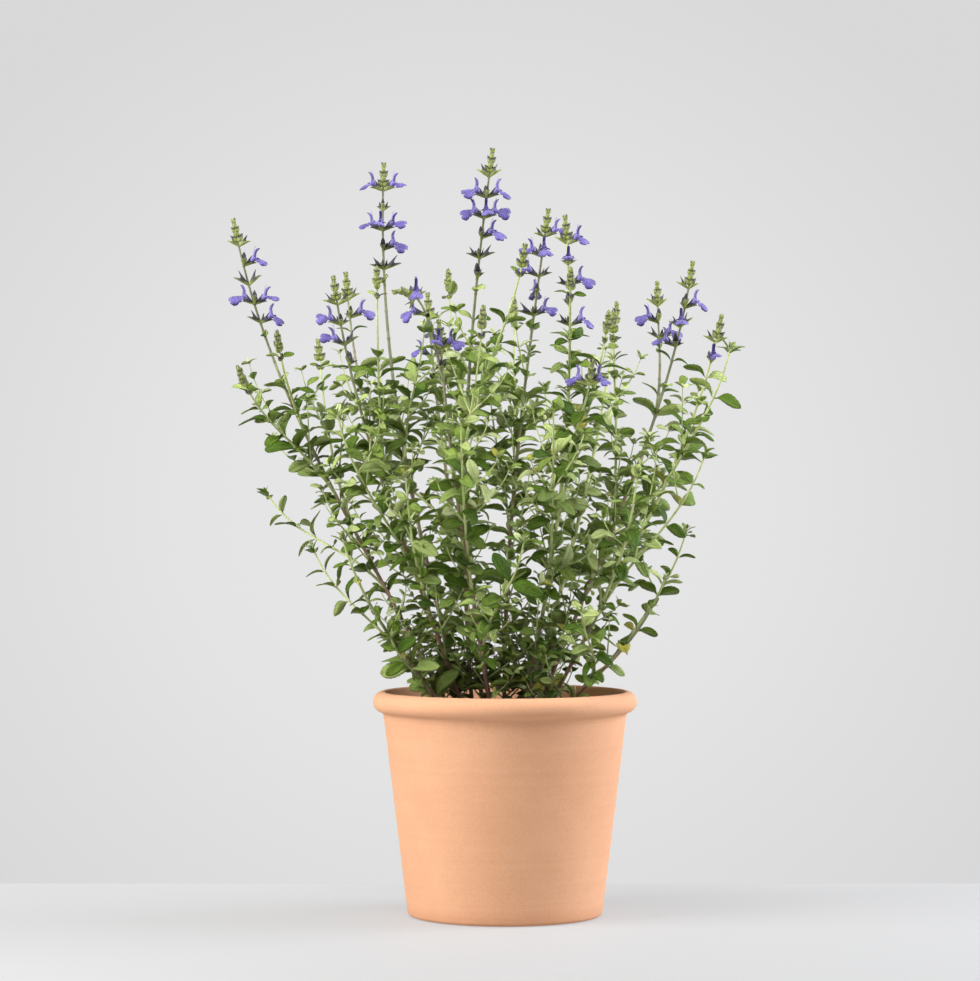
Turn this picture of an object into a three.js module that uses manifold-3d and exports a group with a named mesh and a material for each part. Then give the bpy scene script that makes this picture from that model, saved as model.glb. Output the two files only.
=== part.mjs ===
// A flowering shrubby sage in a plain terracotta pot.
// Millimetres, +Z up. The origin is the middle of the pot's foot, where it stands. -Y is the front.

import * as THREE from 'three';
import { mergeVertices } from 'three/addons/utils/BufferGeometryUtils.js';
import Module from 'manifold-3d';

const wasm = await Module();
wasm.setup();

// Pot: a thrown clay pot with a rolled rim, 21 cm across.
const POT_HEIGHT = 177.5;
const RIM_RADIUS = 105;
const RIM_HEIGHT = 16.5;
const MOUTH_RADIUS = 94.5;
const BODY_TOP_RADIUS = 96.5;
const FOOT_RADIUS = 77.5;
const FOOT_ROUNDING = 3;
const WALL = 9;
const FLOOR_THICKNESS = 11;
const POT_SIDES = 36;
const DRAIN_HOLES = 3;
const DRAIN_RADIUS = 6;
const DRAIN_CIRCLE_RADIUS = 42;
const DRAIN_SIDES = 8;

// Soil: fills the pot to below the rim, with a slightly uneven top.
const SOIL_LEVEL = 155;
const SOIL_SETBACK = 0.7;
const SOIL_RINGS = [58, 30];
const SOIL_BUMP = 1.6;
const SOIL_SIDES = 18;

// Free room kept between any two pieces.
const GAP = 0.32;

// Stems: square in section, as on every sage. They stand in square holes in the soil.
const MAIN_FOOT_RADIUS = 2.4;
const MAIN_TIP_RADIUS = 0.8;
const SHOOT_FOOT_RADIUS = 1.4;
const SHOOT_TIP_RADIUS = 0.7;
const STEM_DEPTH = 26;
const STRAIGHT_FOOT = 34;
const LONGEST_STRETCH = 44;
const LINE_REACH = 0.36;
const NOD_SIDEWAYS = 0.95;
const NOD_DOWN = 0.2;
const TIP_TURNS_UP = new THREE.Vector3(0.45, 0.45, 1);
const TURN_PER_SHOOT = 1.1;

// Leaves: opposite pairs, each pair a quarter turn round the stem from the last.
const PAIR_SPACING = 72;
const LOWEST_LEAF = 26;
const HIGHEST_LEAF = 15;
const SMALL_LEAF = 17.5;
const LEAF_WIDTH = 0.48;
const LEAF_HALF_THICKNESS = 0.65;
const LEAF_FOLD = 0.07;
const LEAF_TILT = 1.1;
const BARE_FOOT = 24;
const BARE_SHOOT = 6;
const BARE_TIP = 5;
const BARE_UNDER_BUDS = 6;
const BARE_UNDER_SPIKE = 12;
const JOINT_ROOM = 4.5;

// Flower spikes: a bud head, then whorls of calyces down the stem.
const HEAD_LENGTH = 15;
const TOP_BUDS = 8;
const BUD_SPACING = 5;
const END_BUD = 4.5;
const FIRST_WHORL = 19;
const WHORL_SPACING = 15.5;
const BUD_LENGTH = 7.5;
const BUD_THICKNESS = 3.4;
const BUD_TILT = 0.75;
const CALYX_LENGTH = 8.5;
const CALYX_BELLY = 3.8;
const CALYX_BELLY_RADIUS = 2;
const CALYX_MOUTH = 8;
const CALYX_MOUTH_RADIUS = 3.2;
const CALYX_WALL = 0.6;
const CALYX_HOLLOW = 4.2;
const CALYX_TOOTH = 1.6;
const TOOTH_FLARE = 0.4;
const EMPTY_MOUTH = 6.6;
const EMPTY_TOOTH = 2.6;
const OPEN_RISE = 0.3;
const CLOSED_RISE = 0.8;
const WHORL_SWING = 0.4;

// Flowers: the lower lip hangs out in front, and the hood stands up over the throat.
const CLAW = 11.2;
const LIP_WIDEST = 15;
const LIP_END = 18.2;
const LIP_WIDTH = 9;
const LIP_DROP = 4.6;
const HOOD_FOOT = 10.2;
const HOOD_LEAN = 0.35;
const HOOD_LENGTH = 10;
const HOOD_WIDTH = 2.8;

const UP = new THREE.Vector3(0, 0, 1);
const BACK = new THREE.Vector3(0, 1, 0);

// The ways that the calyces of a whorl face: left, front, right and back. Those at the left
// and right turn a little towards the light in front.
const OUTWARDS = {
  L: new THREE.Vector3(-0.94, -0.34, 0),
  F: new THREE.Vector3(0, -1, 0),
  R: new THREE.Vector3(0.94, -0.34, 0),
  B: BACK,
};
const SIDES = 'LFRB';

// Every main stem with the side shoots that grew from it.
// foot: where it leaves the soil. tip: its end. bow: how far its middle stands to the side.
// from: how far up its parent a side shoot starts, 0 to 1.
// spike: the whorls from the top down, each with the sides on which a flower is open.
// nod: its end bends over sideways.
const STEMS = [
  {
    name: 'left_tall', foot: [-42, 4], tip: [-217, 15, 552], bow: [0, 0],
    head: 'spike', spike: ['', 'R', '', 'LR', 'R'],
    shoots: [
      { from: 0.62, tip: [-179, -34, 460], head: 'buds' },
      { from: 0.49, tip: [-208, -50, 432], head: 'buds' },
      { from: 0.42, tip: [-152, 66, 458], head: 'buds' },
      { from: 0.3, tip: [-194, 60, 336], head: 'leaves' },
    ],
  },
  {
    name: 'left_inner', foot: [-30, -14], tip: [-134, -48, 502], bow: [0, 0],
    head: 'spike', spike: ['', 'L', 'L', ''],
    shoots: [
      { from: 0.6, tip: [-127, 12, 509], head: 'spike', spike: ['', 'R'] },
      { from: 0.52, tip: [-101, -30, 511], head: 'buds' },
      { from: 0.36, tip: [-128, -118, 396], head: 'leaves' },
      { from: 0.28, tip: [-76, -128, 350], head: 'leaves' },
    ],
  },
  {
    name: 'left_middle', foot: [-28, 16], tip: [-98, 50, 600], bow: [-14, 4],
    head: 'spike', spike: ['LR', '', 'LFR', 'R', ''],
    shoots: [
      { from: 0.42, tip: [-104, 104, 440], head: 'leaves' },
      { from: 0.5, tip: [-64, 8, 468], head: 'leaves' },
    ],
  },
  {
    name: 'front', foot: [-10, -22], tip: [-51, -90, 466], bow: [0, 0],
    head: 'spike', spike: ['FR', 'L'],
    shoots: [
      { from: 0.88, tip: [-84, -98, 489], nod: true, head: 'spike', spike: ['FB', 'L'] },
      { from: 0.55, tip: [-17, -104, 476], head: 'buds' },
      { from: 0.38, tip: [-34, -150, 392], head: 'leaves' },
      { from: 0.22, tip: [14, -128, 300], head: 'leaves' },
    ],
  },
  {
    name: 'middle_tall', foot: [-22, -4], tip: [-10, -15, 605], bow: [-16, 0],
    head: 'spike', spike: ['', 'LR', 'LFR', 'R', '', ''],
    shoots: [
      { from: 0.5, tip: [-46, 66, 515], head: 'buds' },
      { from: 0.5, tip: [15, -60, 526], head: 'buds' },
    ],
  },
  {
    name: 'middle_right', foot: [2, 10], tip: [35, 40, 562], bow: [-12, 0],
    head: 'spike', spike: ['R', 'LF', 'L', 'B', 'R'],
    shoots: [
      { from: 0.45, tip: [8, 112, 496], head: 'buds' },
      { from: 0.38, tip: [-12, 62, 420], head: 'leaves' },
    ],
  },
  {
    name: 'right_middle', foot: [10, -12], tip: [47, -40, 550], bow: [14, 0],
    head: 'spike', spike: ['R', 'F', 'R', '', 'R'],
    shoots: [
      { from: 0.66, tip: [50, -92, 506], head: 'buds' },
      { from: 0.5, tip: [66, -116, 434], head: 'spike', spike: ['LR'] },
      { from: 0.42, tip: [80, -66, 474], head: 'buds' },
      { from: 0.3, tip: [36, -144, 400], head: 'leaves' },
    ],
  },
  {
    name: 'right_flowering', foot: [24, 10], tip: [152, 45, 520], bow: [0, 0],
    head: 'spike', spike: ['', 'R', 'F', 'L'],
    shoots: [
      { from: 0.7, tip: [126, 92, 507], head: 'spike', spike: ['', 'L', 'R'] },
      { from: 0.42, tip: [88, 40, 480], head: 'buds' },
      { from: 0.34, tip: [158, 100, 396], head: 'leaves' },
    ],
  },
  {
    name: 'right_outer', foot: [30, -8], tip: [170, -30, 473], bow: [0, 0],
    head: 'spike', spike: ['', 'F'],
    shoots: [
      { from: 0.6, tip: [174, -74, 448], head: 'leaves' },
      { from: 0.34, tip: [154, -84, 366], head: 'leaves' },
      { from: 0.3, tip: [100, -126, 350], head: 'leaves' },
    ],
  },
  {
    name: 'right_low', foot: [34, -24], tip: [124, -58, 268], bow: [0, 0], head: 'leaves',
    shoots: [
      { from: 0.5, tip: [144, -10, 306], head: 'leaves' },
      { from: 0.4, tip: [58, -104, 246], head: 'leaves' },
    ],
  },
  {
    name: 'left_low', foot: [-40, -24], tip: [-126, -70, 300], bow: [0, 0], head: 'leaves',
    shoots: [
      { from: 0.45, tip: [-152, -16, 292], head: 'leaves' },
      { from: 0.28, tip: [-90, -66, 226], head: 'leaves' },
    ],
  },
  {
    name: 'back_left', foot: [-16, 34], tip: [-64, 136, 500], bow: [0, 0],
    head: 'spike', spike: ['', 'B', 'LR'],
    shoots: [
      { from: 0.45, tip: [-138, 126, 400], head: 'leaves' },
      { from: 0.35, tip: [-34, 158, 384], head: 'leaves' },
    ],
  },
  {
    name: 'back_right', foot: [20, 34], tip: [94, 128, 492], bow: [0, 0], head: 'buds',
    shoots: [
      { from: 0.45, tip: [34, 158, 424], head: 'leaves' },
      { from: 0.35, tip: [134, 142, 350], head: 'leaves' },
    ],
  },
];

// Looks of the materials.
const TERRACOTTA = { color: 0xd9a27c, roughness: 0.9, metalness: 0 };
const EARTH = { color: 0x3d2a1e, roughness: 1, metalness: 0 };
const LEAF_GREEN = { color: 0x56723f, roughness: 0.7, metalness: 0 };
const VIOLET = { color: 0x6656c4, roughness: 0.6, metalness: 0 };

// A steady chance from 0 to 1 for each set of three whole numbers.
function chance(a, b, c) {
  const wave = Math.sin(a * 12.9898 + b * 78.233 + c * 37.719) * 43758.5453;
  return wave - Math.floor(wave);
}

function mix(from, to, share) {
  return from + (to - from) * share;
}

// ---- closed solids ----

// A closed solid from a three.js geometry: shared corners are merged, and the flat slivers
// where a turned shape meets its axis are left out.
function toSolid(geometry) {
  geometry.deleteAttribute('normal');
  geometry.deleteAttribute('uv');
  const merged = mergeVertices(geometry, 1e-4);
  const index = merged.index.array;
  const triVerts = [];
  for (let i = 0; i < index.length; i += 3) {
    const [a, b, c] = [index[i], index[i + 1], index[i + 2]];
    if (a !== b && b !== c && c !== a) {
      triVerts.push(a, b, c);
    }
  }
  return new wasm.Manifold(new wasm.Mesh({
    numProp: 3,
    vertProperties: new Float32Array(merged.attributes.position.array),
    triVerts: new Uint32Array(triVerts),
  }));
}

function toMesh(name, solid, look) {
  const { vertProperties, triVerts } = solid.getMesh();
  const geometry = new THREE.BufferGeometry();
  geometry.setAttribute('position', new THREE.BufferAttribute(vertProperties, 3));
  geometry.setIndex(new THREE.BufferAttribute(triVerts, 1));
  geometry.computeVertexNormals();
  const mesh = new THREE.Mesh(geometry, new THREE.MeshStandardMaterial(look));
  mesh.name = name;
  return mesh;
}

// A profile of radius and height, turned round the Z axis.
function turnedGeometry(profile, sides) {
  return new THREE.LatheGeometry(profile, sides).rotateX(Math.PI / 2);
}

// ---- the pot ----

// Radius of the pot's inner wall at a height.
function insideRadius(height) {
  const outside = mix(FOOT_RADIUS, BODY_TOP_RADIUS, height / (POT_HEIGHT - RIM_HEIGHT));
  return outside - WALL;
}

// Half the pot's section, from the middle of its foot up the outside and down the inside.
function potProfile() {
  const point = (radius, height) => new THREE.Vector2(radius, height);
  const underRim = POT_HEIGHT - RIM_HEIGHT;
  const roll = RIM_HEIGHT / 2;
  const footArc = new THREE.EllipseCurve(
    FOOT_RADIUS - FOOT_ROUNDING, FOOT_ROUNDING, FOOT_ROUNDING, FOOT_ROUNDING, -Math.PI / 2, 0,
  );
  const rimArc = new THREE.EllipseCurve(
    RIM_RADIUS - roll, underRim + roll, roll, roll, -0.42 * Math.PI, 0.5 * Math.PI,
  );
  return [
    point(0, 0),
    ...footArc.getPoints(2),
    point(BODY_TOP_RADIUS, underRim - 1),
    ...rimArc.getPoints(6),
    point(MOUTH_RADIUS, POT_HEIGHT - 2),
    point(insideRadius(underRim), underRim),
    point(insideRadius(FLOOR_THICKNESS), FLOOR_THICKNESS),
    point(0, FLOOR_THICKNESS),
  ];
}

function makePot() {
  let pot = toSolid(turnedGeometry(potProfile(), POT_SIDES));
  for (let i = 0; i < DRAIN_HOLES; i += 1) {
    const angle = Math.PI / 2 + (i / DRAIN_HOLES) * 2 * Math.PI;
    const drill = new THREE.CylinderGeometry(DRAIN_RADIUS, DRAIN_RADIUS, 3 * FLOOR_THICKNESS, DRAIN_SIDES);
    drill.rotateX(Math.PI / 2);
    drill.translate(DRAIN_CIRCLE_RADIUS * Math.cos(angle), DRAIN_CIRCLE_RADIUS * Math.sin(angle), 0);
    pot = pot.subtract(toSolid(drill));
  }
  return pot;
}

// ---- the soil ----

// How far the top of the soil stands above or below its level at a place.
function soilBump(x, y) {
  const broad = Math.sin(x * 0.13 + 1.1) * Math.cos(y * 0.11 - 0.4);
  const narrow = Math.sin(x * 0.05 - y * 0.31);
  return SOIL_BUMP * (broad + 0.5 * narrow);
}

function makeSoil(stemHoles) {
  const bottom = FLOOR_THICKNESS + GAP;
  const geometry = turnedGeometry([
    new THREE.Vector2(0, bottom),
    new THREE.Vector2(insideRadius(FLOOR_THICKNESS) - SOIL_SETBACK, bottom),
    new THREE.Vector2(insideRadius(SOIL_LEVEL) - SOIL_SETBACK, SOIL_LEVEL),
    ...SOIL_RINGS.map((radius) => new THREE.Vector2(radius, SOIL_LEVEL)),
    new THREE.Vector2(0, SOIL_LEVEL),
  ], SOIL_SIDES);
  const position = geometry.attributes.position;
  for (let i = 0; i < position.count; i += 1) {
    if (position.getZ(i) > bottom + 1) {
      position.setZ(i, SOIL_LEVEL + soilBump(position.getX(i), position.getY(i)));
    }
  }
  return stemHoles.reduce((soil, hole) => soil.subtract(hole), toSolid(geometry));
}

// ---- lines of growth ----

// The line of a shoot: it leaves along its start direction and turns up towards its tip.
function growthLine(start, startDirection, tip, bow, nod) {
  const chord = tip.clone().sub(start);
  const length = chord.length();
  const side = new THREE.Vector3(bow[0], bow[1], 0).multiplyScalar(4 / 3);
  const end = chord.clone().divideScalar(length);
  if (nod) {
    end.set(Math.sign(end.x) * NOD_SIDEWAYS, 0, -NOD_DOWN);
  } else {
    end.multiply(TIP_TURNS_UP).normalize();
  }
  const first = start.clone().addScaledVector(startDirection, length * LINE_REACH).add(side);
  const second = tip.clone().addScaledVector(end, -length * LINE_REACH).add(side);
  return { curve: new THREE.CubicBezierCurve3(start, first, second, tip), length };
}

// The frame at a distance along a line: its direction, and two directions square to it,
// turned round it. On a shoot that stands straight they face left and front.
function frameAt(line, distance, turn) {
  const share = Math.min(1, Math.max(0, distance / line.length));
  const centre = line.curve.getPoint(share);
  const along = line.curve.getTangent(share);
  const left = new THREE.Vector3().crossVectors(along, BACK).normalize();
  const side = left.applyAxisAngle(along, turn);
  const across = new THREE.Vector3().crossVectors(along, side);
  return { centre, along, side, across };
}

// A direction from one of the four sides of a stem, tilted from the stem's own direction and
// swung a little round it.
function outwardAt(frame, side, tilt, swing) {
  const turn = side * (Math.PI / 2) + swing;
  return frame.along.clone().multiplyScalar(Math.cos(tilt))
    .addScaledVector(frame.side, Math.cos(turn) * Math.sin(tilt))
    .addScaledVector(frame.across, Math.sin(turn) * Math.sin(tilt));
}

// ---- skins: closed surfaces knitted from rings of four corners ----

class Skin {
  constructor() {
    this.points = [];
    this.faces = [];
  }

  // Adds four corners, counter-clockwise as seen from the tip, and returns their numbers.
  ring(corners) {
    const first = this.points.length;
    this.points.push(...corners);
    return corners.map((corner, i) => first + i);
  }

  // Joins two rings, leaving out the sides from which something grows. Opposite sides are
  // split alike, so that the two faces of a thin blade run side by side.
  sleeve(lower, upper, open = []) {
    for (let k = 0; k < 4; k += 1) {
      const next = (k + 1) % 4;
      if (open.includes(next)) {
        continue;
      }
      const [a, b, c, d] = [lower[k], lower[next], upper[k], upper[next]];
      if (k % 2 === 0) {
        this.faces.push(a, b, d, a, d, c);
      } else {
        this.faces.push(a, b, c, b, d, c);
      }
    }
  }

  // Closes a ring with a point beyond it.
  close(ring, tip) {
    const apex = this.points.length;
    this.points.push(tip);
    for (let k = 0; k < 4; k += 1) {
      this.faces.push(ring[k], ring[(k + 1) % 4], apex);
    }
  }

  // Closes the ring that a skin starts from.
  base(ring) {
    this.faces.push(ring[0], ring[3], ring[2], ring[0], ring[2], ring[1]);
  }

  // A ring counted from the corner that brings its corners nearest to the next ring's.
  matched(ring, corners) {
    const orders = [0, 1, 2, 3].map((k) => [...ring.slice(k), ...ring.slice(0, k)]);
    const gap = (point, k) => this.points[point].distanceTo(corners[k]);
    const apart = (order) => order.reduce((sum, point, k) => sum + gap(point, k), 0);
    return orders.reduce((best, order) => (apart(order) < apart(best) ? order : best));
  }

  // Grows a limb from a ring: a leaf, a calyx or a bud.
  limb(from, { rings, tip }) {
    let lower = this.matched(from, rings[0]);
    for (const corners of rings) {
      const upper = this.ring(corners);
      this.sleeve(lower, upper);
      lower = upper;
    }
    this.close(lower, tip);
  }

  solid() {
    const geometry = new THREE.BufferGeometry().setFromPoints(this.points);
    geometry.setIndex(this.faces);
    return toSolid(geometry);
  }
}

// A limb as a solid of its own, closed at the ring that it grows from.
function limbSolid(corners, limb) {
  const skin = new Skin();
  const ring = skin.ring(corners);
  skin.base(ring);
  skin.limb(ring, limb);
  return skin.solid();
}

// ---- limbs: leaves, buds, calyces and corollas ----

// A limb's rings in its place, with x along its direction and z to its top. Each section is
// [along, half width, half thickness, height of its edges, height of its rib].
function makeLimb(place, direction, top, sections, tip) {
  const along = direction.clone().normalize();
  const across = new THREE.Vector3().crossVectors(top, along).normalize();
  const up = new THREE.Vector3().crossVectors(along, across);
  const put = (x, y, z) => place.clone()
    .addScaledVector(along, x)
    .addScaledVector(across, y)
    .addScaledVector(up, z);
  const rings = sections.map(([x, halfWidth, halfThickness, edge, rib]) => [
    put(x, halfWidth, edge),
    put(x, 0, rib + halfThickness),
    put(x, -halfWidth, edge),
    put(x, 0, rib - halfThickness),
  ]);
  return { rings, tip: put(...tip) };
}

// A leaf: broadest below its middle, folded along its rib, its tip bent down.
function leafLimb(place, direction, top, length) {
  const halfWidth = (length * LEAF_WIDTH) / 2;
  const fold = length * LEAF_FOLD;
  const tip = [length, 0, -length * 0.16];
  if (length < SMALL_LEAF) {
    return makeLimb(place, direction, top, [
      [length * 0.52, halfWidth, LEAF_HALF_THICKNESS, fold, -length * 0.02],
    ], tip);
  }
  return makeLimb(place, direction, top, [
    [length * 0.36, halfWidth * 0.97, LEAF_HALF_THICKNESS, fold, 0],
    [length * 0.7, halfWidth * 0.84, LEAF_HALF_THICKNESS, fold * 0.4, -length * 0.05],
  ], tip);
}

// A bud: a slim spindle.
function budLimb(place, direction, top, length) {
  const half = BUD_THICKNESS / 2;
  return makeLimb(place, direction, top, [[length * 0.5, half, half, 0, 0]], [length, 0, 0]);
}

// Draws the upper and lower corner of a calyx's mouth out into a pointed tooth.
function drawTeeth(ring, place, along, tooth) {
  for (const corner of [ring[1], ring[3]]) {
    const outwards = corner.clone().sub(place).projectOnPlane(along).normalize();
    corner.addScaledVector(along, tooth).addScaledVector(outwards, TOOTH_FLARE);
  }
}

// An empty calyx: a bell with two long teeth, hollowed at the end.
function emptyCalyxLimb(place, direction) {
  const limb = makeLimb(place, direction, UP, [
    [EMPTY_MOUTH, CALYX_MOUTH_RADIUS * 0.7, CALYX_MOUTH_RADIUS * 0.75, 0, 0],
  ], [CALYX_BELLY, 0, 0]);
  drawTeeth(limb.rings[0], place, direction.clone().normalize(), EMPTY_TOOTH);
  return limb;
}

// An open calyx: a four-sided bell with a long upper tooth and a long lower lip. Its hollow
// runs back to a point inside.
function openCalyxLimb(place, direction) {
  const inside = CALYX_MOUTH_RADIUS - CALYX_WALL;
  const limb = makeLimb(place, direction, UP, [
    [CALYX_BELLY, CALYX_BELLY_RADIUS, CALYX_BELLY_RADIUS, 0, 0],
    [CALYX_MOUTH, CALYX_MOUTH_RADIUS, CALYX_MOUTH_RADIUS, 0, 0],
    [CALYX_MOUTH, inside, inside, 0, 0],
  ], [CALYX_HOLLOW, 0, 0]);
  const along = direction.clone().normalize();
  limb.rings.slice(1).forEach((ring) => drawTeeth(ring, place, along, CALYX_TOOTH));
  return limb;
}

// A corolla: a tube that starts inside the calyx and opens into a broad, cupped lower lip. A
// narrow hood stands up behind it.
function corolla(place, direction) {
  const start = CALYX_HOLLOW + 1;
  const slope = (CALYX_MOUTH_RADIUS - CALYX_WALL) / (CALYX_MOUTH - CALYX_HOLLOW);
  const throat = (CALYX_MOUTH - start) * slope;
  const lip = makeLimb(place, direction, UP, [
    [CALYX_MOUTH, throat, throat, 0, 0],
    [CLAW, 1.5, 0.9, 0, 0],
    [LIP_WIDEST, LIP_WIDTH / 2, 0.6, -1.4, -2.2],
  ], [LIP_END, 0, -LIP_DROP]);
  const tube = makeLimb(place, direction, UP, [[start, 0.15, 0.15, 0, 0]], [0, 0, 0]);
  const along = direction.clone().normalize();
  const hoodFoot = place.clone().addScaledVector(along, HOOD_FOOT);
  const upright = along.clone().multiplyScalar(HOOD_LEAN).add(UP);
  const hood = makeLimb(hoodFoot, upright, along, [
    [0, 0.6, 0.6, 0, 0],
    [HOOD_LENGTH * 0.6, HOOD_WIDTH / 2, 0.8, 0, 0],
  ], [HOOD_LENGTH, 0, 0.6]);
  const tubeAndLip = limbSolid(tube.rings[0], lip);
  return tubeAndLip.add(limbSolid(hood.rings[0], { rings: hood.rings.slice(1), tip: hood.tip }));
}

// ---- shoots: square stems with limbs on their four sides ----

class Shoot {
  constructor(spec, line, footRadius, tipRadius, number) {
    this.spec = spec;
    this.line = line;
    this.footRadius = footRadius;
    this.tipRadius = tipRadius;
    this.number = number;
    this.turn = spec.spike ? 0 : number * TURN_PER_SHOOT;
    this.start = 0;
    this.joints = [];
  }

  frame(distance) {
    return frameAt(this.line, distance, this.turn);
  }

  radiusAt(distance) {
    return mix(this.footRadius, this.tipRadius, distance / this.line.length);
  }

  // The four corners of the stem at a distance along it, pushed out by some extra room.
  corners(distance, extra = 0) {
    const { centre, side, across } = this.frame(distance);
    const reach = this.radiusAt(distance) + extra;
    return [0, 1, 2, 3].map((k) => {
      const angle = (k + 0.5) * (Math.PI / 2);
      return centre.clone()
        .addScaledVector(side, reach * Math.cos(angle))
        .addScaledVector(across, reach * Math.sin(angle));
    });
  }

  // A joint: a short stretch of stem whose sides can each carry a limb or a side shoot. It
  // moves up the stem where another joint is in its way.
  addJoint(wanted) {
    let distance = wanted;
    while (this.joints.some((joint) => Math.abs(joint.distance - distance) < JOINT_ROOM)) {
      distance += 1;
    }
    const joint = { distance, half: this.radiusAt(distance) * 0.75, limbs: new Map(), sideShoots: new Map() };
    this.joints.push(joint);
    return joint;
  }

  // Starts this shoot from the side of its parent's joint that faces its way. Its own first
  // ring lies where it has come clear of its parent.
  startFrom(parent, joint) {
    const frame = parent.frame(joint.distance);
    const tip = this.frame(this.line.length).centre.sub(frame.centre);
    const facing = [0, 1, 2, 3].map((side) => outwardAt(frame, side, Math.PI / 2, 0));
    const side = facing.reduce((best, way, k) => (way.dot(tip) > facing[best].dot(tip) ? k : best), 0);
    const clear = parent.radiusAt(joint.distance) + GAP;
    const isInside = (corner) => corner.sub(frame.centre).dot(facing[side]) < clear;
    while (this.corners(this.start).some(isInside)) {
      this.start += 1;
    }
    joint.sideShoots.set(side, this);
  }

  // The corners of one side of a joint, counter-clockwise from outside.
  sideCorners(joint, side) {
    const lower = this.corners(joint.distance - joint.half);
    const upper = this.corners(joint.distance + joint.half);
    return socket(lower, upper, side);
  }

  // The bare stem, for telling whether something would cross it.
  bareSolid() {
    const skin = new Skin();
    const steps = Math.ceil((2 * this.line.length) / LONGEST_STRETCH);
    let lower = skin.ring(this.corners(0));
    skin.base(lower);
    for (let i = 1; i <= steps; i += 1) {
      const upper = skin.ring(this.corners((i / steps) * this.line.length));
      skin.sleeve(lower, upper);
      lower = upper;
    }
    skin.close(lower, this.frame(this.line.length).centre);
    return skin.solid();
  }

  // The whole stem with all that grows on it, as one closed solid.
  solid() {
    const skin = new Skin();
    const foot = skin.ring(this.corners(0));
    skin.base(foot);
    this.knit(skin, foot);
    return skin.solid();
  }

  // Knits the shoot on from a ring, and from its joints its limbs and side shoots.
  knit(skin, from) {
    let lower = from;
    let reached = 0;
    const climb = (distance, open = []) => {
      const below = lower;
      lower = skin.ring(this.corners(distance));
      skin.sleeve(below, lower, open);
      reached = distance;
      return below;
    };
    climb(this.spec.foot ? STRAIGHT_FOOT : this.start);
    this.joints.sort((a, b) => a.distance - b.distance);
    for (const { distance, half, limbs, sideShoots } of this.joints) {
      const last = reached;
      const stretches = Math.ceil((distance - half - last) / LONGEST_STRETCH);
      for (let i = 1; i <= stretches; i += 1) {
        climb(mix(last, distance - half, i / stretches));
      }
      const below = climb(distance + half, [...limbs.keys(), ...sideShoots.keys()]);
      for (const [side, limb] of limbs) {
        skin.limb(socket(below, lower, side), limb);
      }
      for (const [side, shoot] of sideShoots) {
        shoot.knit(skin, skin.matched(socket(below, lower, side), shoot.corners(shoot.start)));
      }
    }
    if (this.spec.head === 'leaves') {
      skin.close(lower, this.frame(this.line.length).centre);
    } else {
      climb(this.line.length - END_BUD);
      const { centre, along, side } = this.frame(reached);
      skin.limb(lower, budLimb(centre, along, side, BUD_LENGTH));
    }
  }
}

// One side of the stretch between two rings of a stem, counter-clockwise from outside.
function socket(lower, upper, side) {
  const before = (side + 3) % 4;
  return [lower[side], upper[side], upper[before], lower[before]];
}

// ---- growing the plant ----

// Pieces already in their place. A leaf, calyx or flower that would cross one is left out,
// so that no two nodes meet.
const placed = [];

function place(solid, shoot, joint) {
  placed.push({ solid, shoot, joint, box: solid.boundingBox() });
}

function boxesMeet(a, b) {
  return [0, 1, 2].every((i) => a.min[i] - GAP <= b.max[i] && b.min[i] - GAP <= a.max[i]);
}

// Whether a solid is clear of all but its own stem and what else grows at its joint.
function isClear(solid, shoot, joint) {
  const box = solid.boundingBox();
  const isOwn = (piece) => piece.shoot === shoot && (piece.joint === undefined || piece.joint === joint);
  return placed.every((piece) => isOwn(piece)
    || !boxesMeet(box, piece.box)
    || solid.minGap(piece.solid, GAP) >= GAP);
}

// Grows a limb on one side of a joint, if there is room for it.
function tryLimb(shoot, joint, side, limb) {
  const solid = limbSolid(shoot.sideCorners(joint, side), limb);
  const clear = isClear(solid, shoot, joint);
  if (clear) {
    joint.limbs.set(side, limb);
    place(solid, shoot, joint);
  }
  return clear;
}

// The hole in the soil in which a main stem stands.
function stemHole(stem) {
  const down = stem.frame(0).along.clone().multiplyScalar(-GAP);
  const skin = new Skin();
  const bottom = skin.ring(stem.corners(0, 2 * GAP).map((corner) => corner.add(down)));
  const top = skin.ring(stem.corners(STRAIGHT_FOOT, 2 * GAP));
  skin.base(bottom);
  skin.sleeve(bottom, top);
  skin.close(top, stem.frame(STRAIGHT_FOOT + 1).centre);
  return skin.solid();
}

const shoots = [];
function addShoot(spec, line, footRadius, tipRadius) {
  const shoot = new Shoot(spec, line, footRadius, tipRadius, shoots.length);
  shoots.push(shoot);
  return shoot;
}

// A main stem and its side shoots, still bare.
function growStems(spec) {
  const leavesSoil = new THREE.Vector3(...spec.foot, SOIL_LEVEL);
  const tip = new THREE.Vector3(...spec.tip);
  const lean = tip.clone().sub(leavesSoil).normalize();
  const foot = leavesSoil.clone().addScaledVector(lean, -STEM_DEPTH);
  const mainLine = growthLine(foot, lean, tip, spec.bow, false);
  const main = addShoot(spec, mainLine, MAIN_FOOT_RADIUS, MAIN_TIP_RADIUS);
  const sides = spec.shoots.map((side) => {
    const joint = main.addJoint(side.from * main.line.length);
    const start = main.frame(joint.distance);
    const end = new THREE.Vector3(...side.tip);
    const direction = end.clone().sub(start.centre).normalize().add(start.along).normalize();
    const line = growthLine(start.centre, direction, end, [0, 0], side.nod);
    const shoot = addShoot(side, line, SHOOT_FOOT_RADIUS, SHOOT_TIP_RADIUS);
    shoot.startFrom(main, joint);
    return shoot;
  });
  return { name: spec.name, main, shoots: [main, ...sides], blooms: [] };
}

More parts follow.
